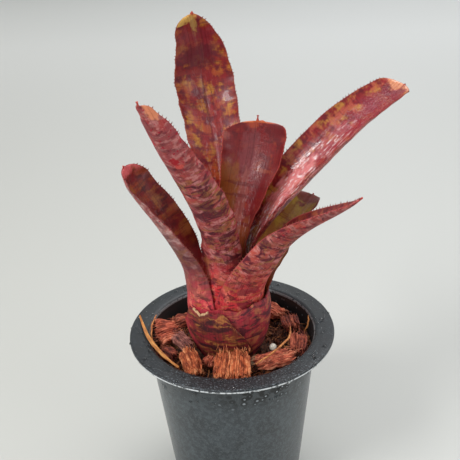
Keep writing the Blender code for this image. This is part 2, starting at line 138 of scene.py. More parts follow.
# What each leaf's skin looks like.  ground, shade, blotch, deep, sheen and tip are the hollow side;
# outer, outer_warm and scurf are the back; edge is the margin and base the clasping foot.  tip_reach is
# the length of the tinted tip, size the width and height of a blotch, and cover the noise value at which
# blotches begin.  dashes is the strength of the dark dashes on the back, gloss the roughness of the
# hollow side, and wet the strength of its film of water and of the painted highlight streaks on it.
Look = namedtuple("Look", "seed ground shade blotch deep sheen edge tip tip_reach outer outer_warm scurf "
                          "base size cover dashes gloss wet")
LOOKS = {
    "leaf_back_tall": Look(
        3, tone(182, 136, 40), tone(164, 76, 34), tone(134, 10, 26), tone(92, 10, 32),
        tone(126, 38, 46), tone(150, 66, 50), tone(190, 120, 60), 2, tone(150, 90, 96),
        tone(170, 84, 70), tone(190, 156, 154), tone(180, 30, 38), (6.4, 6), 0.46, 0.5, 0.34, 0.1),
    "leaf_front_left": Look(
        11, tone(150, 92, 50), tone(130, 60, 50), tone(120, 26, 36), tone(92, 18, 30),
        tone(150, 80, 88), tone(176, 60, 66), tone(214, 120, 104), 4, tone(158, 78, 86),
        tone(176, 76, 74), tone(206, 150, 150), tone(222, 58, 66), (4.0, 4.0), 0.5, 0.75, 0.42, 0.2),
    "leaf_far_left": Look(
        23, tone(144, 92, 38), tone(136, 58, 32), tone(112, 18, 28), tone(66, 10, 20),
        tone(116, 54, 44), tone(120, 34, 36), tone(200, 90, 96), 5, tone(160, 122, 124),
        tone(168, 104, 100), tone(196, 172, 172), tone(206, 70, 84), (9.0, 4.6), 0.48, 0.35, 0.4, 0.2),
    "leaf_centre_cup": Look(
        31, tone(150, 66, 36), tone(140, 44, 34), tone(126, 24, 30), tone(94, 16, 26),
        tone(140, 74, 80), tone(176, 66, 56), tone(206, 108, 54), 0.8, tone(158, 90, 92),
        tone(176, 84, 72), tone(176, 140, 142), tone(140, 80, 36), (6.0, 5.0), 0.42, 0.3, 0.34, 0.2),
    "leaf_right_long": Look(
        43, tone(188, 144, 62), tone(180, 90, 72), tone(138, 16, 36), tone(98, 12, 32),
        tone(176, 84, 98), tone(150, 50, 50), tone(214, 150, 108), 2.6, tone(162, 76, 82),
        tone(172, 66, 50), tone(178, 126, 126), tone(196, 50, 58), (5.4, 4.6), 0.48, 0.55, 0.26, 1.0),
    "leaf_right_front": Look(
        57, tone(150, 80, 50), tone(130, 60, 44), tone(110, 26, 34), tone(84, 18, 28),
        tone(150, 80, 88), tone(180, 80, 84), tone(186, 60, 64), 4, tone(166, 84, 84),
        tone(190, 88, 74), tone(208, 152, 150), tone(204, 58, 68), (4.6, 3.0), 0.5, 0.9, 0.42, 0.2),
    "leaf_back_right": Look(
        61, tone(142, 134, 38), tone(122, 100, 34), tone(104, 26, 24), tone(70, 14, 20),
        tone(116, 84, 40), tone(120, 30, 30), tone(170, 100, 60), 4, tone(150, 96, 100),
        tone(160, 90, 80), tone(176, 140, 140), tone(160, 60, 56), (5.0, 4.0), 0.6, 0.4, 0.36, 0.2),
    "leaf_heart": Look(
        71, tone(150, 120, 50), tone(130, 90, 44), tone(120, 40, 38), tone(90, 24, 30),
        tone(130, 80, 60), tone(160, 60, 50), tone(180, 120, 70), 3, tone(150, 90, 80),
        tone(160, 90, 70), tone(170, 130, 120), tone(150, 60, 50), (4.0, 3.0), 0.5, 0.4, 0.34, 0.2),
}

# Marks that single out one place on a leaf: side (1 hollow, 0 outer), millimetres across from the
# midrib, millimetres from the tip, half size across and along, colour, strength.
Mark = namedtuple("Mark", "hollow across to_tip wide tall colour strength")
MARKS = {
    "leaf_back_tall": [
        Mark(1, 2, 13, 13, 8, tone(140, 44, 60), 0.6),
        Mark(1, 1, 19, 10, 5.5, tone(98, 16, 40), 0.8),
        Mark(1, 0.2, 42, 0.9, 18, tone(84, 14, 30), 0.5),
        Mark(1, 4.5, 1, 5.5, 1.6, tone(214, 188, 96), 0.85),
        Mark(1, 0.3, 4, 1.7, 3.6, tone(186, 164, 84), 0.75),
    ],
    "leaf_front_left": [
        Mark(0, 2.6, 27.4, 1.7, 1.3, tone(214, 92, 84), 0.85),
        Mark(0, 2, 24.6, 1.5, 2.2, tone(170, 14, 36), 0.95),
        Mark(0, -3, 16, 0.8, 1.2, tone(190, 40, 60), 0.8),
        Mark(0, 3.4, 2, 2.6, 4.2, tone(232, 160, 118), 0.85),
    ],
    "leaf_centre_cup": [
        Mark(1, 9, 30, 6, 15, tone(138, 84, 30), 0.8),
        Mark(1, 10, 14, 6, 7, tone(118, 22, 28), 0.7),
        Mark(1, -7, 30, 5, 17, tone(106, 18, 26), 0.7),
        # Painted reflection: the pale mauve wedge down the middle of the hollow, wide near the tip and
        # narrowing down the leaf.
        Mark(1, 2, 14, 4.6, 13, tone(130, 66, 72), 0.7),
        Mark(1, 1.6, 36, 2.4, 18, tone(156, 94, 88), 0.65),
        Mark(1, -11.5, 24, 2.4, 16, tone(118, 40, 40), 0.5),
        Mark(1, -9, 3.6, 5, 4, tone(104, 16, 24), 0.8),
        Mark(1, 1.5, 1.2, 2.4, 2, tone(186, 86, 46), 0.6),
        Mark(1, -4, 48, 5, 8, tone(140, 84, 40), 0.6),
        Mark(1, 5, 0.2, 5, 0.7, tone(214, 124, 62), 0.8),
        Mark(1, 1, 27, 9, 0.9, tone(96, 20, 28), 0.6),
        Mark(1, -6, 20, 5, 0.9, tone(158, 84, 56), 0.5),
        Mark(1, 2, 32, 8, 0.8, tone(96, 20, 28), 0.55),
        Mark(1, -2, 44, 7, 0.8, tone(108, 18, 22), 0.8),
    ],
    "leaf_back_right": [
        Mark(1, 0, 2, 12, 3.4, tone(98, 18, 22), 0.85),
        Mark(1, 10.5, 14, 2, 16, tone(92, 18, 22), 0.8),
        Mark(1, -10.5, 14, 2, 16, tone(92, 18, 22), 0.8),
    ],
    "leaf_right_long": [
        Mark(1, -2, 14, 9, 13, tone(140, 40, 62), 0.75),
        Mark(1, 1.5, 36, 4.5, 14, tone(180, 92, 104), 0.6),
        Mark(1, -3, 36, 4, 20, tone(150, 40, 58), 0.6),
        Mark(1, -7.5, 58, 4.5, 24, tone(110, 40, 40), 0.85),
        Mark(1, -8, 46, 2, 8, tone(150, 100, 50), 0.55),
        # Painted highlight: the pale pink glare on the lower channel.
        Mark(1, 2.2, 62, 4.6, 18, tone(232, 150, 154), 0.85),
        Mark(1, 3, 1.6, 3.4, 2.2, tone(222, 160, 116), 0.85),
    ],
    "leaf_far_left": [
        Mark(1, 1, 0.5, 5, 3.4, tone(214, 110, 116), 0.9),
        Mark(0, 1, 0.5, 8, 3.4, tone(222, 130, 132), 0.8),
        Mark(0, 4, 46, 26, 15, tone(98, 58, 62), 0.55),
    ],
}

# Bark chips: centre, then length, width and thickness, then turn about Z, tilt along and across the
# grain in degrees, the kind of bark, and how much the far end of the grain spreads out.
CHIPS = {
    "chip_fan": (-29, 2.6, 76.4, 11.6, 13, 4.8, 192, 4, -16, "rust", 0.5),
    "chip_long_left": (-21.6, -7, 77, 16, 6, 5.2, 118, 5, -8, "mauve", 0.1),
    "chip_low_left": (-27.6, -13.6, 75.6, 9, 7.5, 4.2, 130, 6, 5, "dark_red", 0.2),
    "chip_crumbly": (-17.4, -22, 77.4, 15.5, 7.4, 5.4, 106, -10, 12, "orange", 0.1),
    "chip_small_front": (-10, -21, 76.5, 5.2, 5.2, 4, 60, 8, 5, "rust", 0),
    "chip_front": (-0.4, -27, 78.2, 16, 16.4, 5.2, 86, -12, 3, "orange", -0.04),
    "chip_wedge": (17, -22.9, 77.6, 18, 10.4, 5.4, 27, 4, -16, "rust", 0.1),
    "chip_right": (28.2, -11.4, 76.6, 13, 7.8, 5.2, 80, -8, 8, "dark_red", 0.1),
    "chip_right_back": (27, 7.5, 74.8, 12, 8.4, 4.6, 95, 5, -6, "dark_red", 0.1),
    "chip_back_right": (19.5, 20.5, 73.6, 13, 9.4, 4.4, 135, -5, 5, "rust", 0.2),
    "chip_back": (5, 27.4, 73.2, 14, 9.4, 4.4, 5, 6, 6, "mauve", -0.1),
    "chip_back_left": (-9.5, 26.1, 73.2, 12.5, 9, 4.6, 165, -6, 4, "rust", 0.2),
    "chip_left_back": (-22, 18.3, 72, 13, 8.4, 4.8, 40, 8, -6, "dark_red", 0.1),
}
STRAND_WIDTH, STRAND_DEPTH, STRAND_ROWS = 1.05, 1.15, 9  # the strands that a chip splits into
HAIRS = 0.45  # frayed hairs to a square millimetre of chip
BARKS = {  # painted shadow between the fibres, body, and painted highlight on the raised fibres
    "rust": (tone(104, 38, 26), tone(206, 100, 70), tone(240, 166, 128)),
    "mauve": (tone(70, 38, 38), tone(150, 86, 76), tone(214, 150, 130)),
    "dark_red": (tone(66, 24, 20), tone(146, 62, 44), tone(206, 116, 82)),
    "orange": (tone(116, 44, 22), tone(214, 108, 60), tone(244, 172, 118)),
}

FIBRES = {
    "fibre_left_arc": ([(-34.9, -7, 76.8), (-35.3, -1, 81.6), (-34, 8, 82)], 0.4),
    "fibre_front_long": ([(25.5, -4, 80.4), (24, -15, 83), (18, -25, 84), (9, -32, 82.2)], 0.45),
    "fibre_right": ([(31.8, 1, 72), (33.6, -1.5, 80), (33.9, -1, 84)], 0.35),
}
SLIVER = [(-41.5, 8, 82.2), (-36.5, -7, 81.2), (-29.5, -20, 80.8), (-22, -29.5, 80.6)]
PRILL = (17.5, -9.5, 74.2, 1.6)  # centre and radius

DRAIN_HOLES = 8
DRAIN_RING, DRAIN_RADIUS = 19, 2.5  # from the pot's axis to a hole's centre, and a hole's radius

# Lights: place and target in metres, width, and share of the main softbox's power.
SOFTBOXES = {
    "key_softbox": ((-0.52, -0.36, 0.66), (0, 0, 0.14), 0.3, 1),
    "overhead_softbox": ((0.1, 0.25, 0.9), (0, 0, 0.12), 0.5, 0.5),
    "side_softbox": ((0.7, -0.45, 0.5), (0, 0, 0.12), 0.5, 0.3),
}


def length_setting(name, description, default):
    """A setting for a length; its default is given in millimetres."""
    return FloatProperty(name=name, description=description, default=default * MM, unit="LENGTH")


def amount_setting(name, description, default, **more):
    return FloatProperty(name=name, description=description, default=default, **more)


def colour_setting(name, description, *default):
    """A setting for a colour; its default is given from 0 to 255."""
    return FloatVectorProperty(name=name, description=description, default=tone(*default),
                               subtype="COLOR")


class PotSizes(bpy.types.PropertyGroup):
    height: length_setting("Height", "Height of the pot", 80)
    rim_radius: length_setting("Rim radius", "Outermost edge of the lip", 45)
    neck_radius: length_setting("Neck radius", "Outside of the wall under the lip", 37.5)
    base_radius: length_setting("Base radius", "Outside of the wall at the foot", 29.6)
    wall: length_setting("Wall", "Thickness of the wall", 1.3)
    plastic: colour_setting("Plastic", "Colour of the pot", 34, 40, 45)
    drops: amount_setting("Drops", "Water drops to a square centimetre", 22)


class LeafLook(bpy.types.PropertyGroup):
    thickness: length_setting("Thickness", "Leaf thickness along the midrib", 0.72)
    tooth_spacing: length_setting("Tooth spacing", "From one margin tooth to the next", 1.4)
    tooth_length: length_setting("Tooth length", "How far a margin tooth stands out", 0.75)
    teeth: colour_setting("Teeth", "Colour of the margin teeth", 92, 34, 30)


class BarkLook(bpy.types.PropertyGroup):
    crumbs: amount_setting("Crumbs", "Bark crumbs to a square centimetre", 30)
    splinters: amount_setting("Splinters", "Loose fibres to a square centimetre", 16)
    seed: IntProperty(name="Seed", description="Changes how the crumbs and fibres fall", default=4)


class StageLook(bpy.types.PropertyGroup):
    floor: colour_setting("Floor", "Colour of the floor and backdrop", 196, 197, 193)
    # The far floor colour is painted light: the sweep is made paler further back.
    far: colour_setting("Far floor", "Colour of the floor far behind the pot", 240, 241, 238)
    sky: amount_setting("Fill", "Strength of the light from all round", 0.6)
    ceiling: amount_setting("Ceiling", "Strength of the wide ceiling light", 1.55)
    softbox: amount_setting("Softbox", "Power of the main softbox", 4, unit="POWER")


class Wire:
    """A socket of a node tree: arithmetic on it adds Math nodes to its tree."""

    def __init__(self, board, socket):
        self.board = board
        self.socket = socket

    def __add__(self, other):
        return self.board.math("ADD", self, other)

    def __sub__(self, other):
        return self.board.math("SUBTRACT", self, other)

    def __rsub__(self, other):
        return self.board.math("SUBTRACT", other, self)

    def __mul__(self, other):
        return self.board.math("MULTIPLY", self, other)

    def __truediv__(self, other):
        return self.board.math("DIVIDE", self, other)

    def __pow__(self, other):
        return self.board.math("POWER", self, other)

    def __abs__(self):
        return self.board.math("ABSOLUTE", self)

    __radd__ = __add__
    __rmul__ = __mul__

    def between(self, low, high):
        """0 below low, 1 above high, and a soft step from one to the other."""
        return self.board.node("ShaderNodeMapRange", {"interpolation_type": "SMOOTHSTEP"},
                               {0: self, 1: low, 2: high, 3: 0.0, 4: 1.0})


class Board:
    """A node tree that is wired in code."""

    def __init__(self, tree):
        self.tree = tree

    def feed(self, socket, value):
        if isinstance(value, Wire):
            self.tree.links.new(value.socket, socket)
        elif socket.type == "RGBA" and len(value) == 3:
            socket.default_value = (*value, 1)
        else:
            socket.default_value = value

    def node(self, kind, settings=None, inputs=None, output=0):
        """Add a node; its settings are made first, then its sockets get their values or wires."""
        node = self.tree.nodes.new(kind)
        for key, value in (settings or {}).items():
            if key == "stops":
                self.set_stops(node.color_ramp, value)
            else:
                setattr(node, key, value)
        for key, value in (inputs or {}).items():
            self.feed(node.inputs[key], value)
        return Wire(self, node.outputs[output])

    def set_stops(self, ramp, stops):
        while len(ramp.elements) < len(stops):
            ramp.elements.new(1)
        for element, (place, colour) in zip(ramp.elements, stops):
            element.position = place
            element.color = (*colour, 1)

    def math(self, operation, *values):
        return self.node("ShaderNodeMath", {"operation": operation}, dict(enumerate(values)))


class Finish(Board):
    """A material around one Principled shader."""

    def __init__(self, name):
        self.material = bpy.data.materials.new(name)
        self.material.use_nodes = True
        super().__init__(self.material.node_tree)
        self.shader = self.tree.nodes["Principled BSDF"]

    def vector(self, x, y, z):
        return self.node("ShaderNodeCombineXYZ", None, {0: x, 1: y, 2: z})

    def parts(self, vector):
        node = self.tree.nodes.new("ShaderNodeSeparateXYZ")
        self.feed(node.inputs[0], vector)
        return [Wire(self, socket) for socket in node.outputs]

    def attribute(self, name):
        return self.node("ShaderNodeAttribute", {"attribute_name": name}, output="Vector")

    def place(self):
        """The point's own coordinates in millimetres, as a vector wire."""
        spot = self.node("ShaderNodeTexCoord", output="Object")
        return self.node("ShaderNodeVectorMath", {"operation": "SCALE"}, {0: spot, "Scale": 1000})

    def noise(self, vector, detail=3, roughness=0.55, warp=0):
        return self.node("ShaderNodeTexNoise", None, {"Vector": vector, "Scale": 1, "Detail": detail,
                                                      "Roughness": roughness, "Distortion": warp})

    def grain(self, scale, detail=3, roughness=0.6):
        """Noise over the point's own coordinates, with so many turns to a millimetre."""
        spot = self.node("ShaderNodeVectorMath", {"operation": "SCALE"},
                         {0: self.place(), "Scale": scale})
        return self.noise(spot, detail, roughness)

    def cells(self, vector):
        return self.node("ShaderNodeTexVoronoi", None, {"Vector": vector, "Scale": 1})

    def blend(self, factor, first, second):
        return self.node("ShaderNodeMix", {"data_type": "RGBA"}, {0: factor, 6: first, 7: second}, 2)

    def coats(self, colour, *coats):
        """Blend more colours over one: each coat is how far it covers, and its colour."""
        for factor, coat in coats:
            colour = self.blend(factor, colour, coat)
        return colour

    def shade(self, factor, colour, by):
        """Multiply a colour by another one, as far as the factor says."""
        return self.node("ShaderNodeMix", {"data_type": "RGBA", "blend_type": "MULTIPLY"},
                         {0: factor, 6: colour, 7: by}, 2)

    def ramp(self, factor, *stops):
        return self.node("ShaderNodeValToRGB", {"stops": stops}, {0: factor})

    def bump(self, height, strength, distance):
        return self.node("ShaderNodeBump", None,
                         {"Height": height, "Strength": strength, "Distance": distance})

    def surface(self, **sockets):
        for key, value in sockets.items():
            self.feed(self.shader.inputs[key.replace("_", " ").title().replace("Ior", "IOR")], value)
        return self.material


class Growth(Board):
    """A geometry node tree with named inputs, used once on one object and then made plain mesh."""

    def __init__(self, name):
        super().__init__(bpy.data.node_groups.new(name, "GeometryNodeTree"))
        self.interface = self.tree.interface
        self.interface.new_socket("Geometry", in_out="INPUT", socket_type="NodeSocketGeometry")
        self.interface.new_socket("Geometry", in_out="OUTPUT", socket_type="NodeSocketGeometry")
        self.start = self.tree.nodes.new("NodeGroupInput")
        self.values = {}

    def geometry(self):
        return Wire(self, self.start.outputs["Geometry"])

    def size(self, name, value, kind="NodeSocketFloat"):
        item = self.interface.new_socket(name, in_out="INPUT", socket_type=kind)
        self.values[item.identifier] = value
        return Wire(self, self.start.outputs[name])

    def random(self, low, high, seed, kind="FLOAT"):
        first = {"FLOAT": 2, "FLOAT_VECTOR": 0}[kind]
        output = {"FLOAT": 1, "FLOAT_VECTOR": 0}[kind]
        return self.node("FunctionNodeRandomValue", {"data_type": kind},
                         {first: low, first + 1: high, "Seed": seed}, output)

    def scatter(self, density, seed):
        """Points strewn over the tree's own mesh, and the turns that stand things up on it."""
        points = self.node("GeometryNodeDistributePointsOnFaces", None,
                           {"Mesh": self.geometry(), "Density": density, "Seed": seed}, "Points")
        return points, Wire(self, points.socket.node.outputs["Rotation"])

    def put_on(self, points, thing, scale, **more):
        """Instances of a thing on points."""
        return self.node("GeometryNodeInstanceOnPoints", None,
                         {"Points": points, "Instance": thing, "Scale": scale, **more})

    def finish_on(self, thing, geometry, material):
        """End the tree, run it on the object and keep only the mesh that it makes."""
        solid = self.node("GeometryNodeRealizeInstances", None, {0: geometry})
        dressed = self.node("GeometryNodeSetMaterial", None, {0: solid, "Material": material})
        end = self.tree.nodes.new("NodeGroupOutput")
        self.feed(end.inputs[0], dressed)
        modifier = thing.modifiers.new(self.tree.name, "NODES")
        modifier.node_group = self.tree
        for identifier, value in self.values.items():
            modifier[identifier] = value
        return plain_mesh(thing)


def plain_mesh(thing):
    """Swap an object's modifiers for the mesh they make."""
    bpy.context.view_layer.update()
    graph = bpy.context.evaluated_depsgraph_get()
    mesh = bpy.data.meshes.new_from_object(thing.evaluated_get(graph), depsgraph=graph)
    thing.modifiers.clear()
    thing.data = mesh
    return thing


def add_object(name, data, material=None):
    thing = bpy.data.objects.new(name, data)
    bpy.context.scene.collection.objects.link(thing)
    if material:
        data.materials.append(material)
    return thing


def new_mesh(name, work):
    """The mesh that a bmesh holds; the bmesh is let go."""
    mesh = bpy.data.meshes.new(name)
    work.to_mesh(mesh)
    work.free()
    return mesh


def keep(thing, slot, *nodes):
    """Hand a finished piece to the frame: its body and the nodes it stands for, which are hidden. The
    slot is not used.
    """
    if nodes:
        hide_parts(*nodes)
    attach(thing, BODY)
    return thing


def smooth_rows(stations, count):
    """Rows that pass smoothly through the stations (a Catmull-Rom curve in every column)."""
    table = np.array(stations, float)
    table = np.vstack([2 * table[0] - table[1], table, 2 * table[-1] - table[-2]])
    places = np.linspace(0, len(stations) - 1, count)
    index = np.minimum(places.astype(int), len(stations) - 2)
    part = (places - index)[:, None]
    before, start, end, after = (table[index + shift] for shift in range(4))
    return 0.5 * (2 * start + (end - before) * part
                  + (2 * before - 5 * start + 4 * end - after) * part ** 2
                  + (3 * start - before - 3 * end + after) * part ** 3)


def layer_radius(layer, height, azimuth):
    """Outside radius of one layer of the bulb; the azimuth is in radians."""
    heights, radii = smooth_rows(BULB, 60).T
    swell = LEFT_SWELL * np.maximum(-np.cos(azimuth), 0) ** 2
    return np.interp(height, heights, radii) + swell - layer * LAYER_PITCH


def hug_bulb(grid, layer, sheath_top):
    """Hold the clasping part on its own layer, and let the leaf swing out only above its sheath."""
    radius = np.hypot(grid[..., 0], grid[..., 1])
    held_at = layer_radius(layer, grid[..., 2], np.arctan2(grid[..., 1], grid[..., 0]))
    free = np.clip((grid[..., 2] - sheath_top) / RELEASE, 0, 1)
    ease = free * free * (3 - 2 * free)
    held = held_at + np.maximum(radius - held_at, 0) * ease
    grid[..., :2] *= (held / radius)[..., None]
    return grid


Sheet = namedtuple("Sheet", "grid normal lay span")


def unit(vectors):
    return vectors / np.maximum(np.linalg.norm(vectors, axis=-1, keepdims=True), 1e-9)


def sheet_normals(grid):
    return unit(np.cross(np.gradient(grid, axis=1), np.gradient(grid, axis=0)))


def curved_sheet(azimuth_degrees, distances, run, dense, layer, sheath_top, crease, narrow):
    """The outer surface of a leaf at the given distances along its midrib; narrow trims its sides."""
    distance, height, half, trough, turn, roll = (np.interp(distances, run, column) for column in dense.T)
    azimuth = np.radians(azimuth_degrees + turn)
    midrib = np.stack([distance * np.cos(azimuth), distance * np.sin(azimuth), height], 1)
    along = unit(np.gradient(midrib, distances, axis=0))
    across = np.stack([-np.sin(azimuth), np.cos(azimuth), np.zeros(len(distances))], 1)
    across = unit(across - np.sum(across * along, 1)[:, None] * along)
    inward = np.cross(along, across)
    cos_roll = np.cos(np.radians(roll))[:, None]
    sin_roll = np.sin(np.radians(roll))[:, None]
    across, inward = across * cos_roll + inward * sin_roll, inward * cos_roll - across * sin_roll
    trough = np.radians(trough)
    arc_radius = half / trough
    share = np.linspace(-1, 1, narrow.shape[1])
    trimmed = share * narrow
    angle = trough[:, None] * trimmed
    sideways = (arc_radius[:, None] * np.sin(angle))[..., None] * across[:, None]
    depth = arc_radius[:, None] * (1 - np.cos(angle))
    depth = depth - crease * np.exp(-(half[:, None] * trimmed / 1.1) ** 2)
    grid = midrib[:, None] + sideways + depth[..., None] * inward[:, None]
    grid = hug_bulb(grid, layer, sheath_top)
    lay = np.stack([half[:, None] * trimmed, np.broadcast_to(distances[:, None], angle.shape)], -1)
    return grid, lay, share


def leaf_sheet(leaf):
    """A finely divided leaf: rounded or pointed tip, end spine, crease and wavy margins."""
    stations = []
    for height, wrap in leaf.sheath:
        radius = layer_radius(leaf.layer, height, math.radians(leaf.azimuth))
        stations.append((radius, height, radius * math.radians(wrap), wrap, 0, 0))
    stations += leaf.blade
    dense = smooth_rows(stations, 600)
    azimuth = np.radians(leaf.azimuth + dense[:, 4])
    midrib = np.stack([dense[:, 0] * np.cos(azimuth), dense[:, 0] * np.sin(azimuth), dense[:, 1]], 1)
    run = np.concatenate([[0], np.cumsum(np.linalg.norm(np.diff(midrib, axis=0), axis=1))])
    total = run[-1]
    drift = (dense[-1] - dense[-8]) / (run[-1] - run[-8])
    dense = np.vstack([dense, dense[-1] + drift * leaf.spine])
    dense[-1, 2:] = dense[-2, 2:]
    run = np.append(run, total + leaf.spine)
    cap = max(leaf.cap)
    body = np.arange(0, total - cap, ROW_STEP)
    tip = total - cap * (1 - np.linspace(0, 1, TIP_ROWS)) ** 1.8
    distances = np.concatenate([body, tip, total + leaf.spine * np.array([0.3, 0.6, 1])])
    beyond = np.clip((distances - total) / leaf.spine, 0, 1)
    half = np.interp(distances, run, dense[:, 2])
    spine_half = 0.08 + 0.55 * (1 - beyond)
    narrow = []
    for length, blunt in zip(leaf.cap, leaf.blunt):
        left = np.clip((total - distances) / length, 0, 1)
        narrow.append(np.maximum((1 - (1 - left) ** blunt) ** (1 / blunt), spine_half / half))
    middle = COLUMNS // 2
    narrow = np.column_stack([narrow[0]] * middle + [narrow[1]] * (COLUMNS - middle))
    sheath_top = leaf.sheath[-1][0]
    grid, lay, share = curved_sheet(leaf.azimuth, distances, run, dense, leaf.layer, sheath_top,
                                    leaf.crease, narrow)
    tuck = np.interp(grid[..., 2], *zip(*TUCKED.get(leaf.name, [(0, 0)])))
    tuck = tuck * np.clip(share * 2 - 1, 0, 1) ** 1.5
    grid[..., :2] *= (1 - tuck / np.hypot(grid[..., 0], grid[..., 1]))[..., None]
    normal = sheet_normals(grid)
    free = np.clip((grid[..., 2] - sheath_top - 6) / 14, 0, 1)
    ripple = np.sin(distances * 0.45 + leaf.layer)[:, None] + 0.6 * np.sin(distances * 1.05 + 2)[:, None]
    grid += normal * (free * leaf.wave * ripple * np.abs(share) ** 4)[..., None]
    to_tip = np.broadcast_to((total - distances)[:, None], free.shape)
    span = np.stack([np.broadcast_to(share, free.shape), to_tip], -1)
    return Sheet(grid * MM, sheet_normals(grid), lay, span)


def thick_leaf(name, sheet, thickness, margin_share, material):
    """Give a sheet its thickness, thinner at the margins, and record where each point lies on it."""
    rows, columns = sheet.grid.shape[:2]
    share = sheet.span[..., 0]
    depth = thickness * (1 - (1 - margin_share) * np.abs(share) ** 3)
    inner = sheet.grid - sheet.normal * depth[..., None]
    points = np.concatenate([sheet.grid.reshape(-1, 3), inner.reshape(-1, 3)])
    index = np.arange(rows * columns).reshape(rows, columns)
    a, b, c, d = (index[:-1, :-1], index[:-1, 1:], index[1:, 1:], index[1:, :-1])
    outer_faces = np.stack([a, b, c, d], -1).reshape(-1, 4)
    inner_faces = outer_faces[:, ::-1] + rows * columns
    rim = np.concatenate([index[0, :], index[1:, -1], index[-1, -2::-1], index[-2:0:-1, 0]])
    after = np.roll(rim, -1)
    walls = np.stack([after, rim, rim + rows * columns, after + rows * columns], -1)
    faces = np.concatenate([outer_faces, inner_faces, walls])
    mesh = bpy.data.meshes.new(name)
    mesh.from_pydata(points.tolist(), [], faces.tolist())
    hollow = np.repeat([0.0, 1.0], rows * columns)
    lay = np.tile(sheet.lay.reshape(-1, 2), (2, 1))
    span = np.tile(sheet.span.reshape(-1, 2), (2, 1))
    store(mesh, "lay", np.column_stack([lay, hollow]))
    store(mesh, "span", np.column_stack([span, hollow]))
    mesh.shade_smooth()
    mesh.set_sharp_from_angle(angle=math.radians(50))
    return add_object(name, mesh, material)


def store(mesh, name, values):
    layer = mesh.attributes.new(name, "FLOAT_VECTOR", "POINT")
    layer.data.foreach_set("vector", np.ascontiguousarray(values, dtype=np.float32).ravel())


class LeafSkin(Finish):
    """Living leaf: blotched and glossy on the hollow side, scurfy and cross-banded on the back."""

    def __init__(self, name, look):
        super().__init__(name)
        self.look = look
        self.across, self.along, self.hollow = self.parts(self.attribute("lay"))
        self.side, self.to_tip, _ = self.parts(self.attribute("span"))
        self.height = self.parts(self.place())[2]
        self.veins = self.streaks(1.9, 0.035, 0, 4, 0.6)
        self.ripples = self.streaks(0.12, 1.3, 5, 3, 0.6)

    def streaks(self, across, along, shift, *settings):
        """Noise with so many turns to a millimetre across and along the leaf."""
        spot = self.vector(self.across * across, self.along * along, self.look.seed + shift)
        return self.noise(spot, *settings)

    def blobs(self, wide, tall, shift, detail, warp=0):
        """Noise with one turn to so many millimetres across and along the leaf."""
        spot = self.vector(self.across / wide, self.along / tall, self.look.seed + shift)
        return self.noise(spot, detail, 0.55, warp)

    def patches(self, wide, tall, low, high, shift, detail=3, warp=0):
        return self.blobs(wide, tall, shift, detail, warp).between(low, high)

    def hollow_side(self):
        look, patches, (wide, tall) = self.look, self.patches, self.look.size
        blotch = patches(wide, tall, look.cover - 0.06, look.cover + 0.08, 2, 5)
        sheen = (1 - abs(self.across / 7).between(0.1, 1)) * patches(5, 16, 0.35, 0.6, 4) * 0.25
        tip = 1 - self.to_tip.between(look.tip_reach * 0.35, look.tip_reach)
        return self.coats(
            look.ground,
            (patches(5, 8, 0.38, 0.58, 1, 4), look.shade),
            (blotch * 0.94, look.blotch),
            (blotch * patches(wide * 0.8, tall * 0.8, 0.46, 0.62, 3, 4) * 0.85, look.deep),
            (patches(9, 1.5, 0.55, 0.64, 22) * 0.5, look.deep),
            (patches(1.1, 3.2, 0.6, 0.7, 16, 2) * 0.5, look.deep),
            (sheen, look.sheen),
            (self.ripples.between(0.56, 0.66) * 0.25, look.deep),
            (tip * patches(3, 3, 0.38, 0.5, 6) * 0.85, look.tip),
            ((1 - self.height.between(104, 134)) * 0.35, look.base))

    def back(self):
        look, patches = self.look, self.patches
        low = self.to_tip.between(24, 42)
        uneven = 0.25 + 0.75 * patches(7, 9, 0.38, 0.6, 23, 2)
        dashes = patches(7, 2.6, 0.53, 0.6, 10, warp=1.4) * look.dashes * (0.5 + 0.6 * low) * uneven
        return self.coats(
            look.outer,
            (patches(6, 7, 0.42, 0.6, 7, 4) * 0.9, look.outer_warm),
            (patches(3.6, 2.4, 0.47, 0.6, 8, 4) * 0.75, look.scurf),
            (patches(9, 5, 0.48, 0.6, 17, warp=1.2) * (0.45 + 0.5 * low), tone(92, 32, 48)),
            (patches(9, 3.6, 0.5, 0.58, 9, warp=1.6) * (0.1 + 0.8 * low) * uneven, tone(156, 112, 66)),
            (dashes, tone(70, 20, 36)),
            (patches(3.4, 2.8, 0.58, 0.64, 11, warp=0.9) * look.dashes, tone(96, 20, 42)),
            (patches(1.3, 1.6, 0.6, 0.66, 21, 2) * (0.95 - 0.6 * low), tone(168, 24, 54)),
            (1 - (self.height + 14 * self.veins).between(110, 128), self.clasp()))

    def clasp(self):
        """The brighter foot of the back, where the leaf clasps the bulb."""
        return self.coats(
            self.look.base,
            (self.patches(3.4, 5, 0.47, 0.6, 12, 4) * 0.8, tone(240, 140, 122)),
            (self.patches(9, 5.4, 0.52, 0.62, 13, warp=1.2) * 0.8, tone(126, 28, 50)),
            (self.patches(10, 2.8, 0.53, 0.61, 14, warp=1.6) * 0.75, tone(184, 110, 68)),
            (self.patches(7, 3.2, 0.55, 0.62, 18, warp=1.4) * 0.8, tone(88, 16, 36)),
            (self.patches(1.8, 1.5, 0.6, 0.66, 15) * 0.85, tone(150, 20, 44)))

    def marked(self, colour, marks):
        for mark in marks:
            aside, down = (self.across - mark.across) / mark.wide, (self.to_tip - mark.to_tip) / mark.tall
            wobble = self.blobs(mark.wide ** 0.5, mark.tall ** 0.5, 20, 4)
            reach = aside ** 2 + down ** 2 + (wobble - 0.5) * 3
            colour = self.blend((1 - reach.between(0.4, 1.3)) * mark.strength, colour, mark.colour)
        return colour


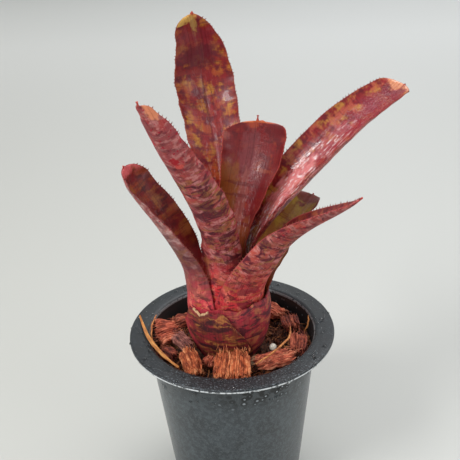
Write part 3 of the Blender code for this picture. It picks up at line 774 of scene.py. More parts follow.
def leaf_skin(name, look, marks):
    skin = LeafSkin(name, look)
    hollow, to_tip, veins, ripples = skin.hollow, skin.to_tip, skin.veins, skin.ripples
    colour = skin.coats(
        skin.marked(skin.back(), [mark for mark in marks if not mark.hollow]),
        (hollow, skin.marked(skin.hollow_side(), [mark for mark in marks if mark.hollow])),
        (abs(skin.side).between(0.965, 0.995) * 0.75, look.edge),
        ((1 - to_tip.between(-0.5, 0.3)) * 0.85, tone(182, 70, 58)))
    grime = skin.streaks(2.5, 2.5, 30, 2)
    colour = skin.shade((1 - veins.between(0.35, 0.5)) * 0.5, colour, tone(190, 150, 150))
    colour = skin.shade(1, colour, tone(255, 230, 222))
    colour = skin.shade(grime.between(0.6, 0.75) * 0.5, colour, tone(160, 120, 110))
    film = skin.streaks(0.9, 0.55, 40, 3, 0.6)
    wet = hollow * (1 - abs(skin.across / 9).between(0.3, 1)) * film.between(0.4, 0.55) * look.wet
    # Painted highlight: pale broken streaks over the wet film of the hollow side.
    streak = skin.streaks(0.9, 0.2, 41, 4, 0.6, 0.5).between(0.52, 0.6)
    colour = skin.blend(wet * streak * to_tip.between(10, 50) * 0.85, colour, tone(250, 226, 224))
    rough = look.gloss + 0.2 * (1 - hollow) + 0.18 * ripples - 0.1 * veins - wet * 0.14
    relief = veins * 0.6 + grime * 0.12 + ripples * (0.5 - 0.25 * hollow) + film * wet * 3
    return skin.surface(base_color=colour, roughness=rough, coat_weight=hollow * 0.2 + wet * 0.8,
                        coat_roughness=0.06, specular_ior_level=0.35,
                        normal=skin.bump(relief, 0.35, 0.0005))


def sheath_skin(name, body, warm, dark, band, lip, lip_from, lip_to, seed):
    """Withered sheath: fibrous lengthwise, banded across, bleached along its torn edge."""
    skin = Finish(name)
    across, along, _ = skin.parts(skin.attribute("lay"))
    _, to_tip, _ = skin.parts(skin.attribute("span"))
    veins = skin.noise(skin.vector(across * 1.5, along * 0.05, seed), 4, 0.65)
    waves = skin.noise(skin.vector(across / 10, along / 3, seed + 1), 4, 0.6, 0.9)
    bars = skin.noise(skin.vector(across / 9, along / 3.6, seed + 6), 4, 0.6, 1.1)
    cloud = skin.noise(skin.vector(across / 5, along / 5, seed + 2), 4)
    specks = skin.noise(skin.vector(across / 1.3, along / 1.1, seed + 3), 2).between(0.63, 0.7)
    flush = (1 - (across - 0.3 * to_tip).between(-15, -10)) * cloud.between(0.36, 0.5)
    torn = across.between(lip_from - 1, lip_from) * (1 - across.between(lip_to, lip_to + 1))
    colour = skin.coats(
        body,
        (cloud.between(0.44, 0.56), warm),
        ((1 - waves.between(0.4, 0.48)) * 0.85, dark),
        (bars.between(0.53, 0.64) * 0.75, band),
        ((1 - bars.between(0.39, 0.46)) * 0.85, dark),
        (flush * 0.7, tone(196, 48, 66)),
        ((1 - (to_tip + waves).between(0.9, 1.7)) * torn * 0.85, lip),
        (specks * 0.7, dark))
    colour = skin.shade(veins.between(0.6, 0.3) * 0.55, colour, tone(140, 110, 104))
    return skin.surface(base_color=colour, roughness=0.55 + 0.25 * cloud,
                        normal=skin.bump(veins * 0.8 + waves * 0.4, 0.5, 0.0006))


def bark_skin(name, shadow, body, light):
    """Split bark: long fibres, with painted shade between them and painted highlights where they stand
    up.
    """
    bark = Finish(name)
    x, y, z = bark.parts(bark.attribute("grain"))
    fibres = bark.noise(bark.vector(x * 0.16, y * 1.8, z * 1.8), 5, 0.7)
    chunks = bark.noise(bark.vector(x * 0.35, y * 0.5, z * 0.5), 3)
    fine = bark.noise(bark.vector(x * 0.7, y * 4.5, z * 4.5), 2)
    tint = bark.parts(bark.attribute("tint"))[0]
    value = fibres * 0.5 + chunks * 0.28 + fine * 0.2 + (tint - 0.5) * 0.16
    colour = bark.ramp(value, (0.34, shadow), (0.5, body), (0.66, light))
    colour = bark.shade(chunks.between(0.55, 0.42) * 0.5, colour, tone(150, 110, 100))
    return bark.surface(base_color=colour, roughness=0.75 + 0.15 * fine,
                        normal=bark.bump(fibres + fine * 0.4, 0.8, 0.0008))


def crumb_skin():
    bark = Finish("bark_crumb")
    tint = bark.parts(bark.attribute("tint"))[0]
    grit = bark.grain(1.4, 4, 0.7)
    colour = bark.ramp(tint, (0.0, tone(44, 26, 22)), (0.45, tone(96, 52, 38)), (0.8, tone(150, 84, 54)),
                       (1.0, tone(190, 122, 78)))
    colour = bark.shade(grit.between(0.62, 0.35) * 0.95, colour, tone(84, 60, 54))
    return bark.surface(base_color=colour, roughness=0.85, normal=bark.bump(grit, 0.7, 0.0006))


def soil_skin():
    soil = Finish("bark_mix_dust")
    coarse, fine = soil.grain(0.5, 5, 0.7), soil.grain(2.2, 4, 0.7)
    colour = soil.ramp(coarse * 0.7 + fine * 0.35, (0.38, tone(24, 15, 13)), (0.5, tone(78, 46, 34)),
                       (0.66, tone(140, 84, 54)))
    return soil.surface(base_color=colour, roughness=0.9,
                        normal=soil.bump(coarse + fine * 0.6, 0.9, 0.001))


def plastic_skin(sizes):
    """Moulded nursery pot: slightly mottled, damp, with dried water spots and a dusty bloom; painted
    shade on the inner wall, painted highlights on the lip, along the rim and in the water beads.
    """
    pot = Finish("pot_plastic_moulded")
    x, y, z = pot.parts(pot.place())
    slope = (sizes.neck_radius - sizes.base_radius) / sizes.height
    bloom, film = pot.grain(0.09, 4), pot.grain(0.55, 4)
    spots, grit = pot.grain(2.6, 2), pot.grain(1.3, 3, 0.7)
    sweep = pot.noise(pot.vector(x * 0.03, y * 0.03, z * 1.6), 3, 0.6)
    wall = 1 - z.between(70, 77)
    damp = z.between(60, 72) * film.between(0.4, 0.55)
    shaded_inner_wall = 1 - ((x * x + y * y) ** 0.5 - sizes.base_radius / MM - z * slope).between(-1, -0.4)
    front_weight = 0.25 + 0.75 * (1 - y.between(-34, -16))  # stronger towards the front (-Y); weights the lip speckles, the painted rim highlight and the bead spots with their painted glints
    lip = z.between(79.2, 79.7) * front_weight
    # Painted highlight: a broken pale line along the rolled outer edge of the lip.
    rim_painted_highlight = z.between(78.1, 78.25) * (1 - z.between(79.15, 79.35)) * pot.grain(0.8).between(0.36, 0.5)
    bead_zone = z.between(60, 69) * (1 - z.between(76.6, 77)) * x.between(-14, 4) * front_weight
    beads = pot.cells(pot.vector(x * 0.36, y * 0.36, z * 0.42)) + pot.grain(0.2, 2) * 0.4
    wet = (1 - beads.between(0.68, 0.76)) * bead_zone
    colour = pot.coats(
        sizes.plastic,
        (bloom.between(0.35, 0.65) * 0.5, tone(66, 75, 80)),
        (film.between(0.42, 0.62) * wall * 0.45, tone(84, 94, 98)),
        (spots.between(0.6, 0.72) * 0.5, tone(118, 128, 132)))
    colour = pot.shade((1 - spots.between(0.32, 0.42)) * 0.7, colour, tone(120, 124, 128))
    colour = pot.shade(z.between(77, 78) * 0.95, colour, tone(108, 124, 134))
    # Painted shade: the inner wall of the pot is darkened.
    colour = pot.shade(shaded_inner_wall, colour, tone(60, 66, 70))
    colour = pot.shade(damp * wall * 0.7, colour, tone(178, 180, 182))
    # Painted highlights: pale speckles over the top of the lip, which also gets dark speckles.
    colour = pot.blend(lip * grit.between(0.54, 0.64) * 0.6, colour, tone(130, 140, 146))
    colour = pot.shade(lip * (1 - grit.between(0.38, 0.48)) * 0.9, colour, tone(90, 92, 96))
    # Painted highlight along the lip's outer edge, stronger at the front.
    colour = pot.blend(rim_painted_highlight * front_weight * 0.9, colour, tone(232, 236, 238))
    colour = pot.shade(wet * 0.95, colour, tone(66, 68, 72))
    # Painted highlight: a pale glint in the middle of each bead spot.
    colour = pot.blend((1 - beads.between(0.34, 0.4)) * bead_zone * 0.85, colour, tone(176, 184, 190))
    return pot.surface(
        base_color=colour, roughness=0.32 + 0.2 * bloom + 0.2 * film - 0.1 * lip + 0.4 * shaded_inner_wall,
        coat_weight=0.5 - 0.35 * z.between(79.4, 79.8) - 0.12 * shaded_inner_wall - 0.4 * wet, coat_roughness=0.12,
        normal=pot.bump(spots * 0.5 + sweep * 0.3 + film * 0.5 + lip * grit * 1.2, 0.35, 0.0004))


def water_skin():
    return Finish("water_drop").surface(base_color=tone(250, 252, 252), roughness=0.03,
                                        transmission_weight=1.0, ior=1.33)


def fibre_skin(name, dark, light):
    fibre = Finish(name)
    streak = fibre.grain(0.8, 4, 0.7)
    return fibre.surface(base_color=fibre.blend(streak.between(0.35, 0.65), dark, light), roughness=0.7,
                         normal=fibre.bump(streak, 0.5, 0.0004))


def turned_mesh(name, profile, steps):
    """A closed mesh of revolution from a profile of (radius, height) that starts and ends on the axis."""
    work = bmesh.new()
    rings = []
    for radius, height in profile:
        if radius < 1e-6:
            rings.append([work.verts.new((0, 0, height))] * steps)
            continue
        turn = [2 * math.pi * step / steps for step in range(steps)]
        rings.append([work.verts.new((radius * math.cos(a), radius * math.sin(a), height)) for a in turn])
    for lower, upper in zip(rings, rings[1:]):
        for step in range(steps):
            corners = [lower[step], lower[step - 1], upper[step - 1], upper[step]]
            unique = list(dict.fromkeys(corners))
            if len(unique) > 2:
                work.faces.new(unique)
    bmesh.ops.recalc_face_normals(work, faces=work.faces)
    mesh = new_mesh(name, work)
    mesh.shade_smooth()
    mesh.set_sharp_from_angle(angle=math.radians(35))
    return mesh


def arc_points(centre, radius, start, end, count):
    angles = np.radians(np.linspace(start, end, count))
    return [(centre[0] + radius * math.cos(a), centre[1] + radius * math.sin(a)) for a in angles]


def ring_faces(rows, sides):
    """Faces of a closed strand made of rings of points, with both its ends capped."""
    faces = []
    for row in range(rows - 1):
        for side in range(sides):
            after = (side + 1) % sides
            faces.append((row * sides + side, row * sides + after, (row + 1) * sides + after,
                          (row + 1) * sides + side))
    faces.append(tuple(range(sides))[::-1])
    faces.append(tuple((rows - 1) * sides + side for side in range(sides)))
    return faces


def tube_mesh(name, path, radii, sides=8):
    """A round closed tube along a path, its radius given at every point."""
    run = unit(np.gradient(path, axis=0))
    side = unit(np.cross(run, (0.3, 0.2, 1.0)))
    up = np.cross(run, side)
    turn = np.linspace(0, 2 * math.pi, sides, endpoint=False)
    ring = np.cos(turn)[None, :, None] * side[:, None] + np.sin(turn)[None, :, None] * up[:, None]
    points = path[:, None] + ring * radii[:, None, None]
    mesh = bpy.data.meshes.new(name)
    mesh.from_pydata(points.reshape(-1, 3).tolist(), [], ring_faces(len(path), sides))
    mesh.shade_smooth()
    return mesh


def strand_shell(path, wide, thick, sides):
    """Points and faces of one closed strand along X, with an oval section at every point of its path."""
    turn = np.linspace(0, 2 * math.pi, sides, endpoint=False)
    ring = np.stack([np.zeros(sides), np.cos(turn), np.sin(turn)], 1)
    scale = np.stack([np.ones(len(path)), wide, thick], 1)
    points = (path[:, None] + ring[None] * scale[:, None]).reshape(-1, 3)
    return points, ring_faces(len(path), sides)


def chip_mesh(name, numbers, seed):
    """A split bark chip: a packed bundle of short fibre strands with ragged, frayed ends."""
    x, y, z, length, width, thickness, turn, tilt_along, tilt_across, _, spread = numbers
    random = np.random.default_rng(seed)
    half_length, half_width, half_thick = length / 2, width / 2, thickness / 2
    columns = max(3, round(width / STRAND_WIDTH))
    layers = max(3, round(thickness / STRAND_DEPTH))
    shells, tints = [], []
    for column in range(columns):
        side = (column + 0.5) / columns * 2 - 1
        reach = half_length * (1 - 0.22 * abs(side) ** 3) * random.uniform(0.86, 1.04, 2)
        for layer in range(layers):
            level = (layer + 0.5) / layers * 2 - 1
            first, last = reach * random.uniform(0.82, 1.06, 2) * (1 - 0.12 * abs(level))
            run = np.linspace(-first, last, STRAND_ROWS)
            part = run / half_length
            drift = [noise.noise(Vector((p * 0.22 + seed, side * 1.1, level * 0.8))) for p in run]
            lift = [noise.noise(Vector((p * 0.3, side * 2.4 + seed, 5))) for p in run]
            bulge = level * half_thick * 0.8 * (1 - 0.25 * side * side)
            path = np.stack([run,
                             side * half_width * 0.88 * (1 + spread * part) + np.multiply(drift, 0.5),
                             bulge + np.multiply(lift, 1.2)], 1)
            path[:, 1:] += random.normal(scale=0.1, size=2)
            ends = 1 - np.abs(np.linspace(-1, 1, STRAND_ROWS))
            taper = 0.3 + 0.7 * np.clip(ends / 0.3, 0, 1) ** 0.6
            wide = half_width / columns * 1.3 * (1 + spread * part) * taper * random.uniform(0.75, 1.2)
            thick = half_thick / layers * 1.35 * taper * random.uniform(0.75, 1.15)
            shells.append(strand_shell(path, wide, thick, 6))
            tints.append(random.uniform(0, 1))
    for _ in range(round(length * width * HAIRS)):
        end = random.choice((-1, 1))
        start = np.array([end * half_length * random.uniform(0.2, 0.95),
                          half_width * 0.85 * random.uniform(-1, 1),
                          half_thick * random.uniform(0.5, 0.85)])
        way = unit(np.array([end, random.normal(scale=0.35), random.uniform(0.05, 0.5)]))
        steps = np.linspace(0, random.uniform(1.2, 3.4), 5)
        path = start + steps[:, None] * way
        path[:, 2] -= 0.07 * steps ** 2
        hair = np.linspace(0.13, 0.05, 5)
        shells.append(strand_shell(path, hair, hair, 4))
        tints.append(random.uniform(0.6, 1.3))
    points, faces, tint = [], [], []
    count = 0
    for (corners, sides), value in zip(shells, tints):
        points.append(corners)
        faces += [tuple(count + corner for corner in face) for face in sides]
        tint.append(np.full(len(corners), value))
        count += len(corners)
    points, tint = np.concatenate(points), np.concatenate(tint)
    turned = Euler([math.radians(a) for a in (tilt_across, tilt_along, turn)]).to_matrix()
    placed = (points @ np.array(turned).T + (x, y, z)) * MM
    mesh = bpy.data.meshes.new(name)
    mesh.from_pydata(placed.tolist(), [], faces)
    store(mesh, "grain", points + seed * 7)
    store(mesh, "tint", np.repeat(tint[:, None], 3, 1))
    mesh.shade_smooth()
    mesh.set_sharp_from_angle(angle=math.radians(60))
    return mesh


class BROMELIAD_OT_pot(bpy.types.Operator):
    """Mould the nursery pot, with its flat rolled lip and drain holes"""
    bl_idname = "bromeliad.pot"
    bl_label = "Pot"

    def execute(self, context):
        sizes = context.scene.bromeliad_pot
        height, rim, neck, wall = sizes.height, sizes.rim_radius, sizes.neck_radius, sizes.wall
        floor = 1.8 * MM
        lip, drop = 1.6 * MM, 1.9 * MM  # thickness of the flange and height of its rolled edge
        throat, edge = neck - wall, drop / 2

        def wall_radius(level):
            return sizes.base_radius + (neck - sizes.base_radius) * level / height

        profile = [(0, floor), (wall_radius(floor) - wall, floor)]
        profile += [(wall_radius(height * share) - wall, height * share)
                    for share in (0.3, 0.6, 0.8, 0.9)]
        profile += arc_points((throat + 2 * MM, height - 2 * MM), 2 * MM, 180, 90, 9)
        profile += arc_points((rim - edge, height - edge), edge, 90, -90, 15)
        profile += [(rim - edge - 1.2 * MM, height - lip), (neck + 1.2 * MM, height - lip - 0.4 * MM)]
        under = height - drop - 1.2 * MM
        profile += [(wall_radius(under), under)]
        profile += [(wall_radius(height * share), height * share) for share in (0.8, 0.5, 0.2)]
        profile += arc_points((sizes.base_radius - 1 * MM, 1 * MM), 1 * MM, 0, -90, 6) + [(0, 0)]
        pot = add_object("nursery_pot", turned_mesh("nursery_pot", profile, 180), plastic_skin(sizes))
        cutters = [self.drill(pot, number) for number in range(DRAIN_HOLES)]
        plain_mesh(pot)
        for cutter in cutters:
            bpy.data.objects.remove(cutter)
        keep(pot, "pot_plastic", "pot")
        return {"FINISHED"}

    def drill(self, pot, number):
        turn = 2 * math.pi * number / DRAIN_HOLES
        work = bmesh.new()
        place = Vector((DRAIN_RING * math.cos(turn), DRAIN_RING * math.sin(turn), 0.9)) * MM
        bmesh.ops.create_cone(work, cap_ends=True, segments=28, radius1=DRAIN_RADIUS * MM,
                              radius2=DRAIN_RADIUS * MM, depth=5.4 * MM, matrix=Matrix.Translation(place))
        cutter = add_object(f"drain_hole_{number + 1}", new_mesh("drain_hole", work))
        cut = pot.modifiers.new(cutter.name, "BOOLEAN")
        cut.operation = "DIFFERENCE"
        cut.object = cutter
        return cutter


class BROMELIAD_OT_mix(bpy.types.Operator):
    """Fill the pot with bark mix and strew crumbs over it"""
    bl_idname = "bromeliad.mix"
    bl_label = "Growing mix"

    def execute(self, context):
        bark = context.scene.bromeliad_bark
        mix = add_object("bark_mix_bed", self.bed(), soil_skin())
        keep(mix, "bark_mix", "growing_mix")
        patch = add_object("bark_crumbs", self.top_patch(mix.data))
        shapes = [self.crumb(seed) for seed in range(5)]
        keep(self.strew(patch, shapes, bark), "bark_chip")
        for shape in shapes:
            bpy.data.objects.remove(shape)
        splinters = add_object("bark_splinters", self.top_patch(mix.data))
        keep(self.scatter_splinters(splinters, bark), "dry_fibre")
        return {"FINISHED"}

    def bed(self):
        """The mix up to its lumpy top, which dips towards a well for the foot of the plant."""
        well, top, dip, reach, floor = 13, 71, 6, 34.99, 2.1
        profile = [(0, 34), (well * 0.7, 34)]
        profile += [(well + (reach - well) * share, top - dip * (1 - share) ** 2)
                    for share in np.linspace(0, 1, 46)]
        profile += [(32.6, 50), (30.6, 28), (28, floor), (0, floor)]
        mesh = turned_mesh("bark_mix_bed", [(r * MM, h * MM) for r, h in profile], 150)
        for vertex in mesh.vertices:
            px, py, pz = vertex.co / MM
            if pz > top - dip - 1:
                lumps = noise.noise(Vector((px * 0.3, py * 0.3, 0))) * 0.9
                lumps += noise.noise(Vector((px * 0.9, py * 0.9, 3))) * 0.7
                lumps += abs(noise.noise(Vector((px * 2.2, py * 2.2, 6)))) * 0.5
                vertex.co.z += (lumps - 0.06 * py) * MM
        return mesh

    def top_patch(self, mesh):
        """The part of the bed's top that lies open round the plant."""
        work = bmesh.new()
        work.from_mesh(mesh)
        plant, wall, lowest = 16.5, 34, 64
        hidden = []
        for face in work.faces:
            middle = face.calc_center_median() / MM
            bare = plant < math.hypot(middle.x, middle.y) < wall and middle.z >= lowest
            if not bare or face.normal.z < 0.2:
                hidden.append(face)
        bmesh.ops.delete(work, geom=hidden, context="FACES")
        return new_mesh("open_top", work)

    def crumb(self, seed):
        random = np.random.default_rng(100 + seed)
        work = bmesh.new()
        bmesh.ops.create_icosphere(work, subdivisions=2, radius=1)
        stretch = random.uniform(0.45, 1, 3) * (1.5, 0.85, 0.6)
        for vertex in work.verts:
            lump = 1 + 0.5 * noise.noise(vertex.co * 1.7 + Vector((seed, 0, 0)))
            vertex.co = Vector(vertex.co * lump) * Vector(stretch)
        return add_object(f"crumb_{seed}", new_mesh("crumb", work))

    def strew(self, patch, shapes, bark):
        growth = Growth("strewn crumbs")
        density = growth.size("Density", bark.crumbs * 1e4)
        seed = growth.size("Seed", bark.seed, "NodeSocketInt")
        small = growth.size("Smallest", 0.5 * MM)
        large = growth.size("Largest", 2.6 * MM)
        joined = growth.tree.nodes.new("GeometryNodeGeometryToInstance")
        for shape in reversed(shapes):
            info = growth.node("GeometryNodeObjectInfo", None, {"Object": shape}, "Geometry")
            growth.tree.links.new(info.socket, joined.inputs[0])
        points, _ = growth.scatter(density, seed)
        scale = small + (large - small) * growth.random(0, 1, 3) ** 2.6
        turn = growth.random((0, 0, 0), (6.28, 6.28, 6.28), 5, "FLOAT_VECTOR")
        crumbs = growth.put_on(points, Wire(growth, joined.outputs[0]), scale,
                               **{"Pick Instance": True, "Rotation": turn})
        tint = growth.random((0, 0, 0), (1, 1, 1), 8, "FLOAT_VECTOR")
        tinted = growth.node("GeometryNodeStoreNamedAttribute",
                             {"data_type": "FLOAT_VECTOR", "domain": "INSTANCE"},
                             {"Geometry": crumbs, "Name": "tint", "Value": tint})
        return growth.finish_on(patch, tinted, crumb_skin())

    def scatter_splinters(self, patch, bark):
        growth = Growth("loose fibres")
        density = growth.size("Density", bark.splinters * 1e4)
        length = growth.size("Length", 4.2 * MM)
        radius = growth.size("Radius", 0.11 * MM)
        seed = growth.size("Seed", bark.seed + 9, "NodeSocketInt")
        line = growth.node("GeometryNodeCurvePrimitiveBezierSegment", None,
                           {"Resolution": 5, "Start": (-0.5, 0, 0), "Start Handle": (-0.2, 0.12, 0.1),
                            "End Handle": (0.2, -0.1, 0.14), "End": (0.5, 0.04, 0)})
        ring = growth.node("GeometryNodeCurvePrimitiveCircle", None,
                           {"Resolution": 4, "Radius": radius / length})
        strand = growth.node("GeometryNodeCurveToMesh", None,
                             {"Curve": line, "Profile Curve": ring, "Fill Caps": True})
        turn = growth.random((-0.5, -0.5, 0), (0.5, 0.5, 6.28), 15, "FLOAT_VECTOR")
        points, _ = growth.scatter(density, seed)
        raised = growth.node("GeometryNodeSetPosition", None,
                             {"Geometry": points, "Offset": (0, 0, 1.2 * MM)})
        strands = growth.put_on(raised, strand, length * growth.random(0.4, 1.6, 17), Rotation=turn)
        skin = fibre_skin("splinter", tone(110, 56, 30), tone(196, 128, 70))
        return growth.finish_on(patch, strands, skin)


class BROMELIAD_OT_chips(bpy.types.Operator):
    """Lay the bark chips round the plant"""
    bl_idname = "bromeliad.chips"
    bl_label = "Bark chips"

    def execute(self, context):
        skins = {kind: bark_skin(f"bark_{kind}", *shades) for kind, shades in BARKS.items()}
        for number, (name, numbers) in enumerate(CHIPS.items()):
            piece = "split_" + name
            chip = add_object(piece, chip_mesh(piece, numbers, number + 1), skins[numbers[9]])
            keep(chip, "bark_chip", name)
        return {"FINISHED"}


class BROMELIAD_OT_loose(bpy.types.Operator):
    """Lay the long loose fibres, the golden sliver and the feed prill"""
    bl_idname = "bromeliad.loose"
    bl_label = "Fibres and sliver"

    def execute(self, context):
        rows = 60
        straw = fibre_skin("dry_fibre_straw", tone(150, 78, 34), tone(222, 150, 84))
        for name, (points, radius) in FIBRES.items():
            path = smooth_rows(points, rows)
            run = np.linspace(0, 1, rows)
            path[:, 0] += 0.12 * np.sin(run * 19)
            path[:, 2] += 0.12 * np.sin(run * 27 + 1)
            radii = radius * (0.35 + 0.65 * np.sin(math.pi * np.clip(run, 0.06, 0.94)) ** 0.5)
            mesh = tube_mesh("strand", path * MM, radii * MM)
            keep(add_object("strand_" + name, mesh, straw), "dry_fibre", name)
        keep(self.sliver(), "dry_fibre", "dry_sliver")
        keep(self.prill(), "prill_coat", "feed_prill")
        return {"FINISHED"}

    def sliver(self):
        rows, columns = 70, 9
        gold = Finish("sliver_gold")
        across, along, _ = gold.parts(gold.attribute("lay"))
        veins = gold.noise(gold.vector(across * 2.5, along * 0.1, 2), 4, 0.6)
        colour = gold.ramp(veins, (0.3, tone(120, 62, 28)), (0.5, tone(190, 120, 52)),
                           (0.7, tone(228, 172, 96)))
        gold.surface(base_color=colour, roughness=0.5, normal=gold.bump(veins, 0.5, 0.0005))
        path = smooth_rows(SLIVER, rows)
        run = unit(np.gradient(path, axis=0))
        side = unit(np.cross(run, (0, 0, 1)))
        swell = 0.8 * (0.12 + 0.88 * np.sin(np.linspace(0.06, math.pi - 0.06, rows)))[:, None]
        share = np.broadcast_to(np.linspace(-1, 1, columns), (rows, columns))
        row = np.broadcast_to(np.arange(rows, dtype=float)[:, None], (rows, columns))
        grid = path[:, None] + share[..., None] * (swell * side)[:, None]
        grid[..., 2] += 0.22 * share ** 2 + 0.12 * np.sin(row * 0.35) * share
        sheet = Sheet(grid * MM, sheet_normals(grid), np.stack([swell * share, row], -1),
                      np.stack([share, row], -1))
        return thick_leaf("golden_sliver", sheet, 0.45 * MM, 0.5, gold.material)

    def prill(self):
        coat = Finish("prill_coat_dull")
        pits = coat.grain(1.5, 3, 0.55)
        colour = coat.blend(pits.between(0.4, 0.65), tone(214, 208, 188), tone(240, 236, 224))
        coat.surface(base_color=colour, roughness=0.45, normal=coat.bump(pits, 0.4, 0.0004))
        work = bmesh.new()
        bmesh.ops.create_icosphere(work, subdivisions=4, radius=1)
        for vertex in work.verts:
            dent = 1 + 0.05 * noise.noise(vertex.co * 1.6)
            vertex.co = (vertex.co * dent * PRILL[3] + Vector(PRILL[:3])) * MM
        mesh = new_mesh("prill_bead", work)
        mesh.shade_smooth()
        return add_object("prill_bead", mesh, coat.material)


class BROMELIAD_OT_leaves(bpy.types.Operator):
    """Grow the living leaves, from the outermost sheath to the heart"""
    bl_idname = "bromeliad.leaves"
    bl_label = "Leaves"

    def execute(self, context):
        look = context.scene.bromeliad_leaves
        slots = {"leaf_front_left": "leaf_rose", "leaf_right_front": "leaf_rose",
                 "leaf_far_left": "leaf_dark", "leaf_back_right": "leaf_olive",
                 "leaf_heart": "leaf_olive"}
        edges = []
        for leaf in LEAVES:
            sheet = leaf_sheet(leaf)
            skin = leaf_skin(leaf.name + "_skin", LOOKS[leaf.name], MARKS.get(leaf.name, ()))
            piece = thick_leaf("grown_" + leaf.name, sheet, look.thickness, 0.45, skin)
            keep(piece, slots.get(leaf.name, "leaf_maroon"), leaf.name)
            edges.append(self.margin(leaf, sheet))
        keep(self.teeth(edges, look), "leaf_maroon")
        return {"FINISHED"}

    def margin(self, leaf, sheet):
        """Both free edges of a leaf, with the way that a tooth points at every place."""
        rows = sheet.grid.shape[0] - 10
        start = min(leaf.teeth, rows - 4)
        sides = []
        for outer, inner in ((0, 2), (-1, -3)):
            line = sheet.grid[start:rows, outer]
            away = unit(line - sheet.grid[start:rows, inner])
            away = unit(away + 0.5 * unit(np.gradient(line, axis=0)))
            sides.append((line - sheet.normal[start:rows, outer] * 0.15 * MM, away))
        return sides

    def teeth(self, edges, look):
        points, links, away = [], [], []
        for line, outward in (side for sides in edges for side in sides):
            first = len(points)
            points += [tuple(point) for point in line]
            away += [tuple(way) for way in outward]
            links += [(first + number, first + number + 1) for number in range(len(line) - 1)]
        mesh = bpy.data.meshes.new("margin_teeth")
        mesh.from_pydata(points, links, [])
        store(mesh, "outward", np.array(away))
        thing = add_object("margin_teeth", mesh)
        growth = Growth("margin teeth")
        spacing = growth.size("Spacing", look.tooth_spacing)
        length = growth.size("Length", look.tooth_length)
        curve = growth.node("GeometryNodeMeshToCurve", None, {"Mesh": growth.geometry()})
        even = growth.node("GeometryNodeResampleCurve", {"mode": "LENGTH"},
                           {"Curve": curve, "Length": spacing})
        way = growth.node("GeometryNodeInputNamedAttribute", {"data_type": "FLOAT_VECTOR"},
                          {"Name": "outward"})
        turn = growth.node("FunctionNodeAlignRotationToVector", {"axis": "Z"}, {"Vector": way})
        cone = growth.node("GeometryNodeMeshCone", None,
                           {"Vertices": 5, "Radius Top": 0.0, "Radius Bottom": 0.3, "Depth": 1.0})
        grown = growth.put_on(even, cone, length * growth.random(0.5, 1.3, 2), Rotation=turn)
        return growth.finish_on(thing, grown, fibre_skin("tooth_horn", look.teeth, tone(150, 80, 60)))


class BROMELIAD_OT_old_sheaths(bpy.types.Operator):
    """Wrap the foot of the plant in its two withered sheaths"""
    bl_idname = "bromeliad.old_sheaths"
    bl_label = "Old sheaths"

    def execute(self, context):
        smooth, torn = OLD_SHEATHS
        red = sheath_skin("sheath_red_skin", tone(168, 36, 52), tone(160, 54, 56), tone(72, 12, 30),
                          tone(194, 112, 70), tone(206, 130, 90), 0, 0, 5)
        brown = sheath_skin("sheath_brown_skin", tone(122, 50, 34), tone(142, 34, 42), tone(62, 14, 24),
                            tone(192, 126, 60), tone(240, 200, 150), -6.5, 0.5, 9)
        keep(self.wrap(smooth, red), "sheath_red", smooth.name)
        keep(self.wrap(torn, brown), "sheath_brown", torn.name)
        return {"FINISHED"}

    def wrap(self, sheath, skin):
        stations = [(layer_radius(sheath.layer, height, math.radians(sheath.azimuth)), height,
                     math.radians(wrap), wrap, 0, 0) for height, wrap in sheath.sheath]
        dense = smooth_rows(stations, 300)
        dense[:, 2] *= dense[:, 0]
        midrib = dense[:, :2]
        run = np.concatenate([[0], np.cumsum(np.linalg.norm(np.diff(midrib, axis=0), axis=1))])
        rows, columns = 34, 91
        distances = np.linspace(0, run[-1], rows)
        grid, lay, share = curved_sheet(sheath.azimuth, distances, run, dense, sheath.layer,
                                        sheath.sheath[-1][0], 0, np.ones((rows, columns)))
        rise = np.linspace(0, 1, rows)[:, None] ** 3
        tuck = rise * (sheath.tuck + (0.3 - sheath.tuck) * (1 - np.clip((share + 0.7) / 0.2, 0, 1)))
        grid[..., :2] *= (1 - tuck / np.hypot(grid[..., 0], grid[..., 1]))[..., None]
        wave = np.sin(5 * share) + 0.7 * np.sin(11 * share + 1) + 0.3 * np.sin(29 * share)
        wave += 0.12 * np.sin(61 * share + 2)
        ends = np.maximum(np.abs(share) - 0.8, 0) / 0.2
        grid[:, :, 2] += rise * (wave * sheath.ragged - 5 * ends ** 2)
        curl = np.exp(-((share + sheath.curl) / 0.16) ** 2)
        grid += sheet_normals(grid) * (rise ** 4 * curl * sheath.ragged * 0.7)[..., None]
        to_tip = np.broadcast_to((run[-1] - distances)[:, None], grid.shape[:2])
        span = np.stack([np.broadcast_to(share, grid.shape[:2]), to_tip], -1)
        sheet = Sheet(grid * MM, sheet_normals(grid), lay, span)
        return thick_leaf("withered_" + sheath.name, sheet, 0.6 * MM, 0.5, skin)


class BROMELIAD_OT_hidden(bpy.types.Operator):
    """Dress the root ball and stem that the frame already holds"""
    bl_idname = "bromeliad.hidden"
    bl_label = "Roots and stem"

    def execute(self, context):
        roots = fibre_skin("root_fibre", tone(84, 56, 36), tone(156, 116, 78))
        stem = fibre_skin("stem_bark", tone(120, 78, 52), tone(180, 134, 92))
        for name, skin in (("root_ball", roots), ("stem", stem)):
            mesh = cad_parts[name].data
            mesh.materials.clear()
            mesh.materials.append(skin)
        return {"FINISHED"}


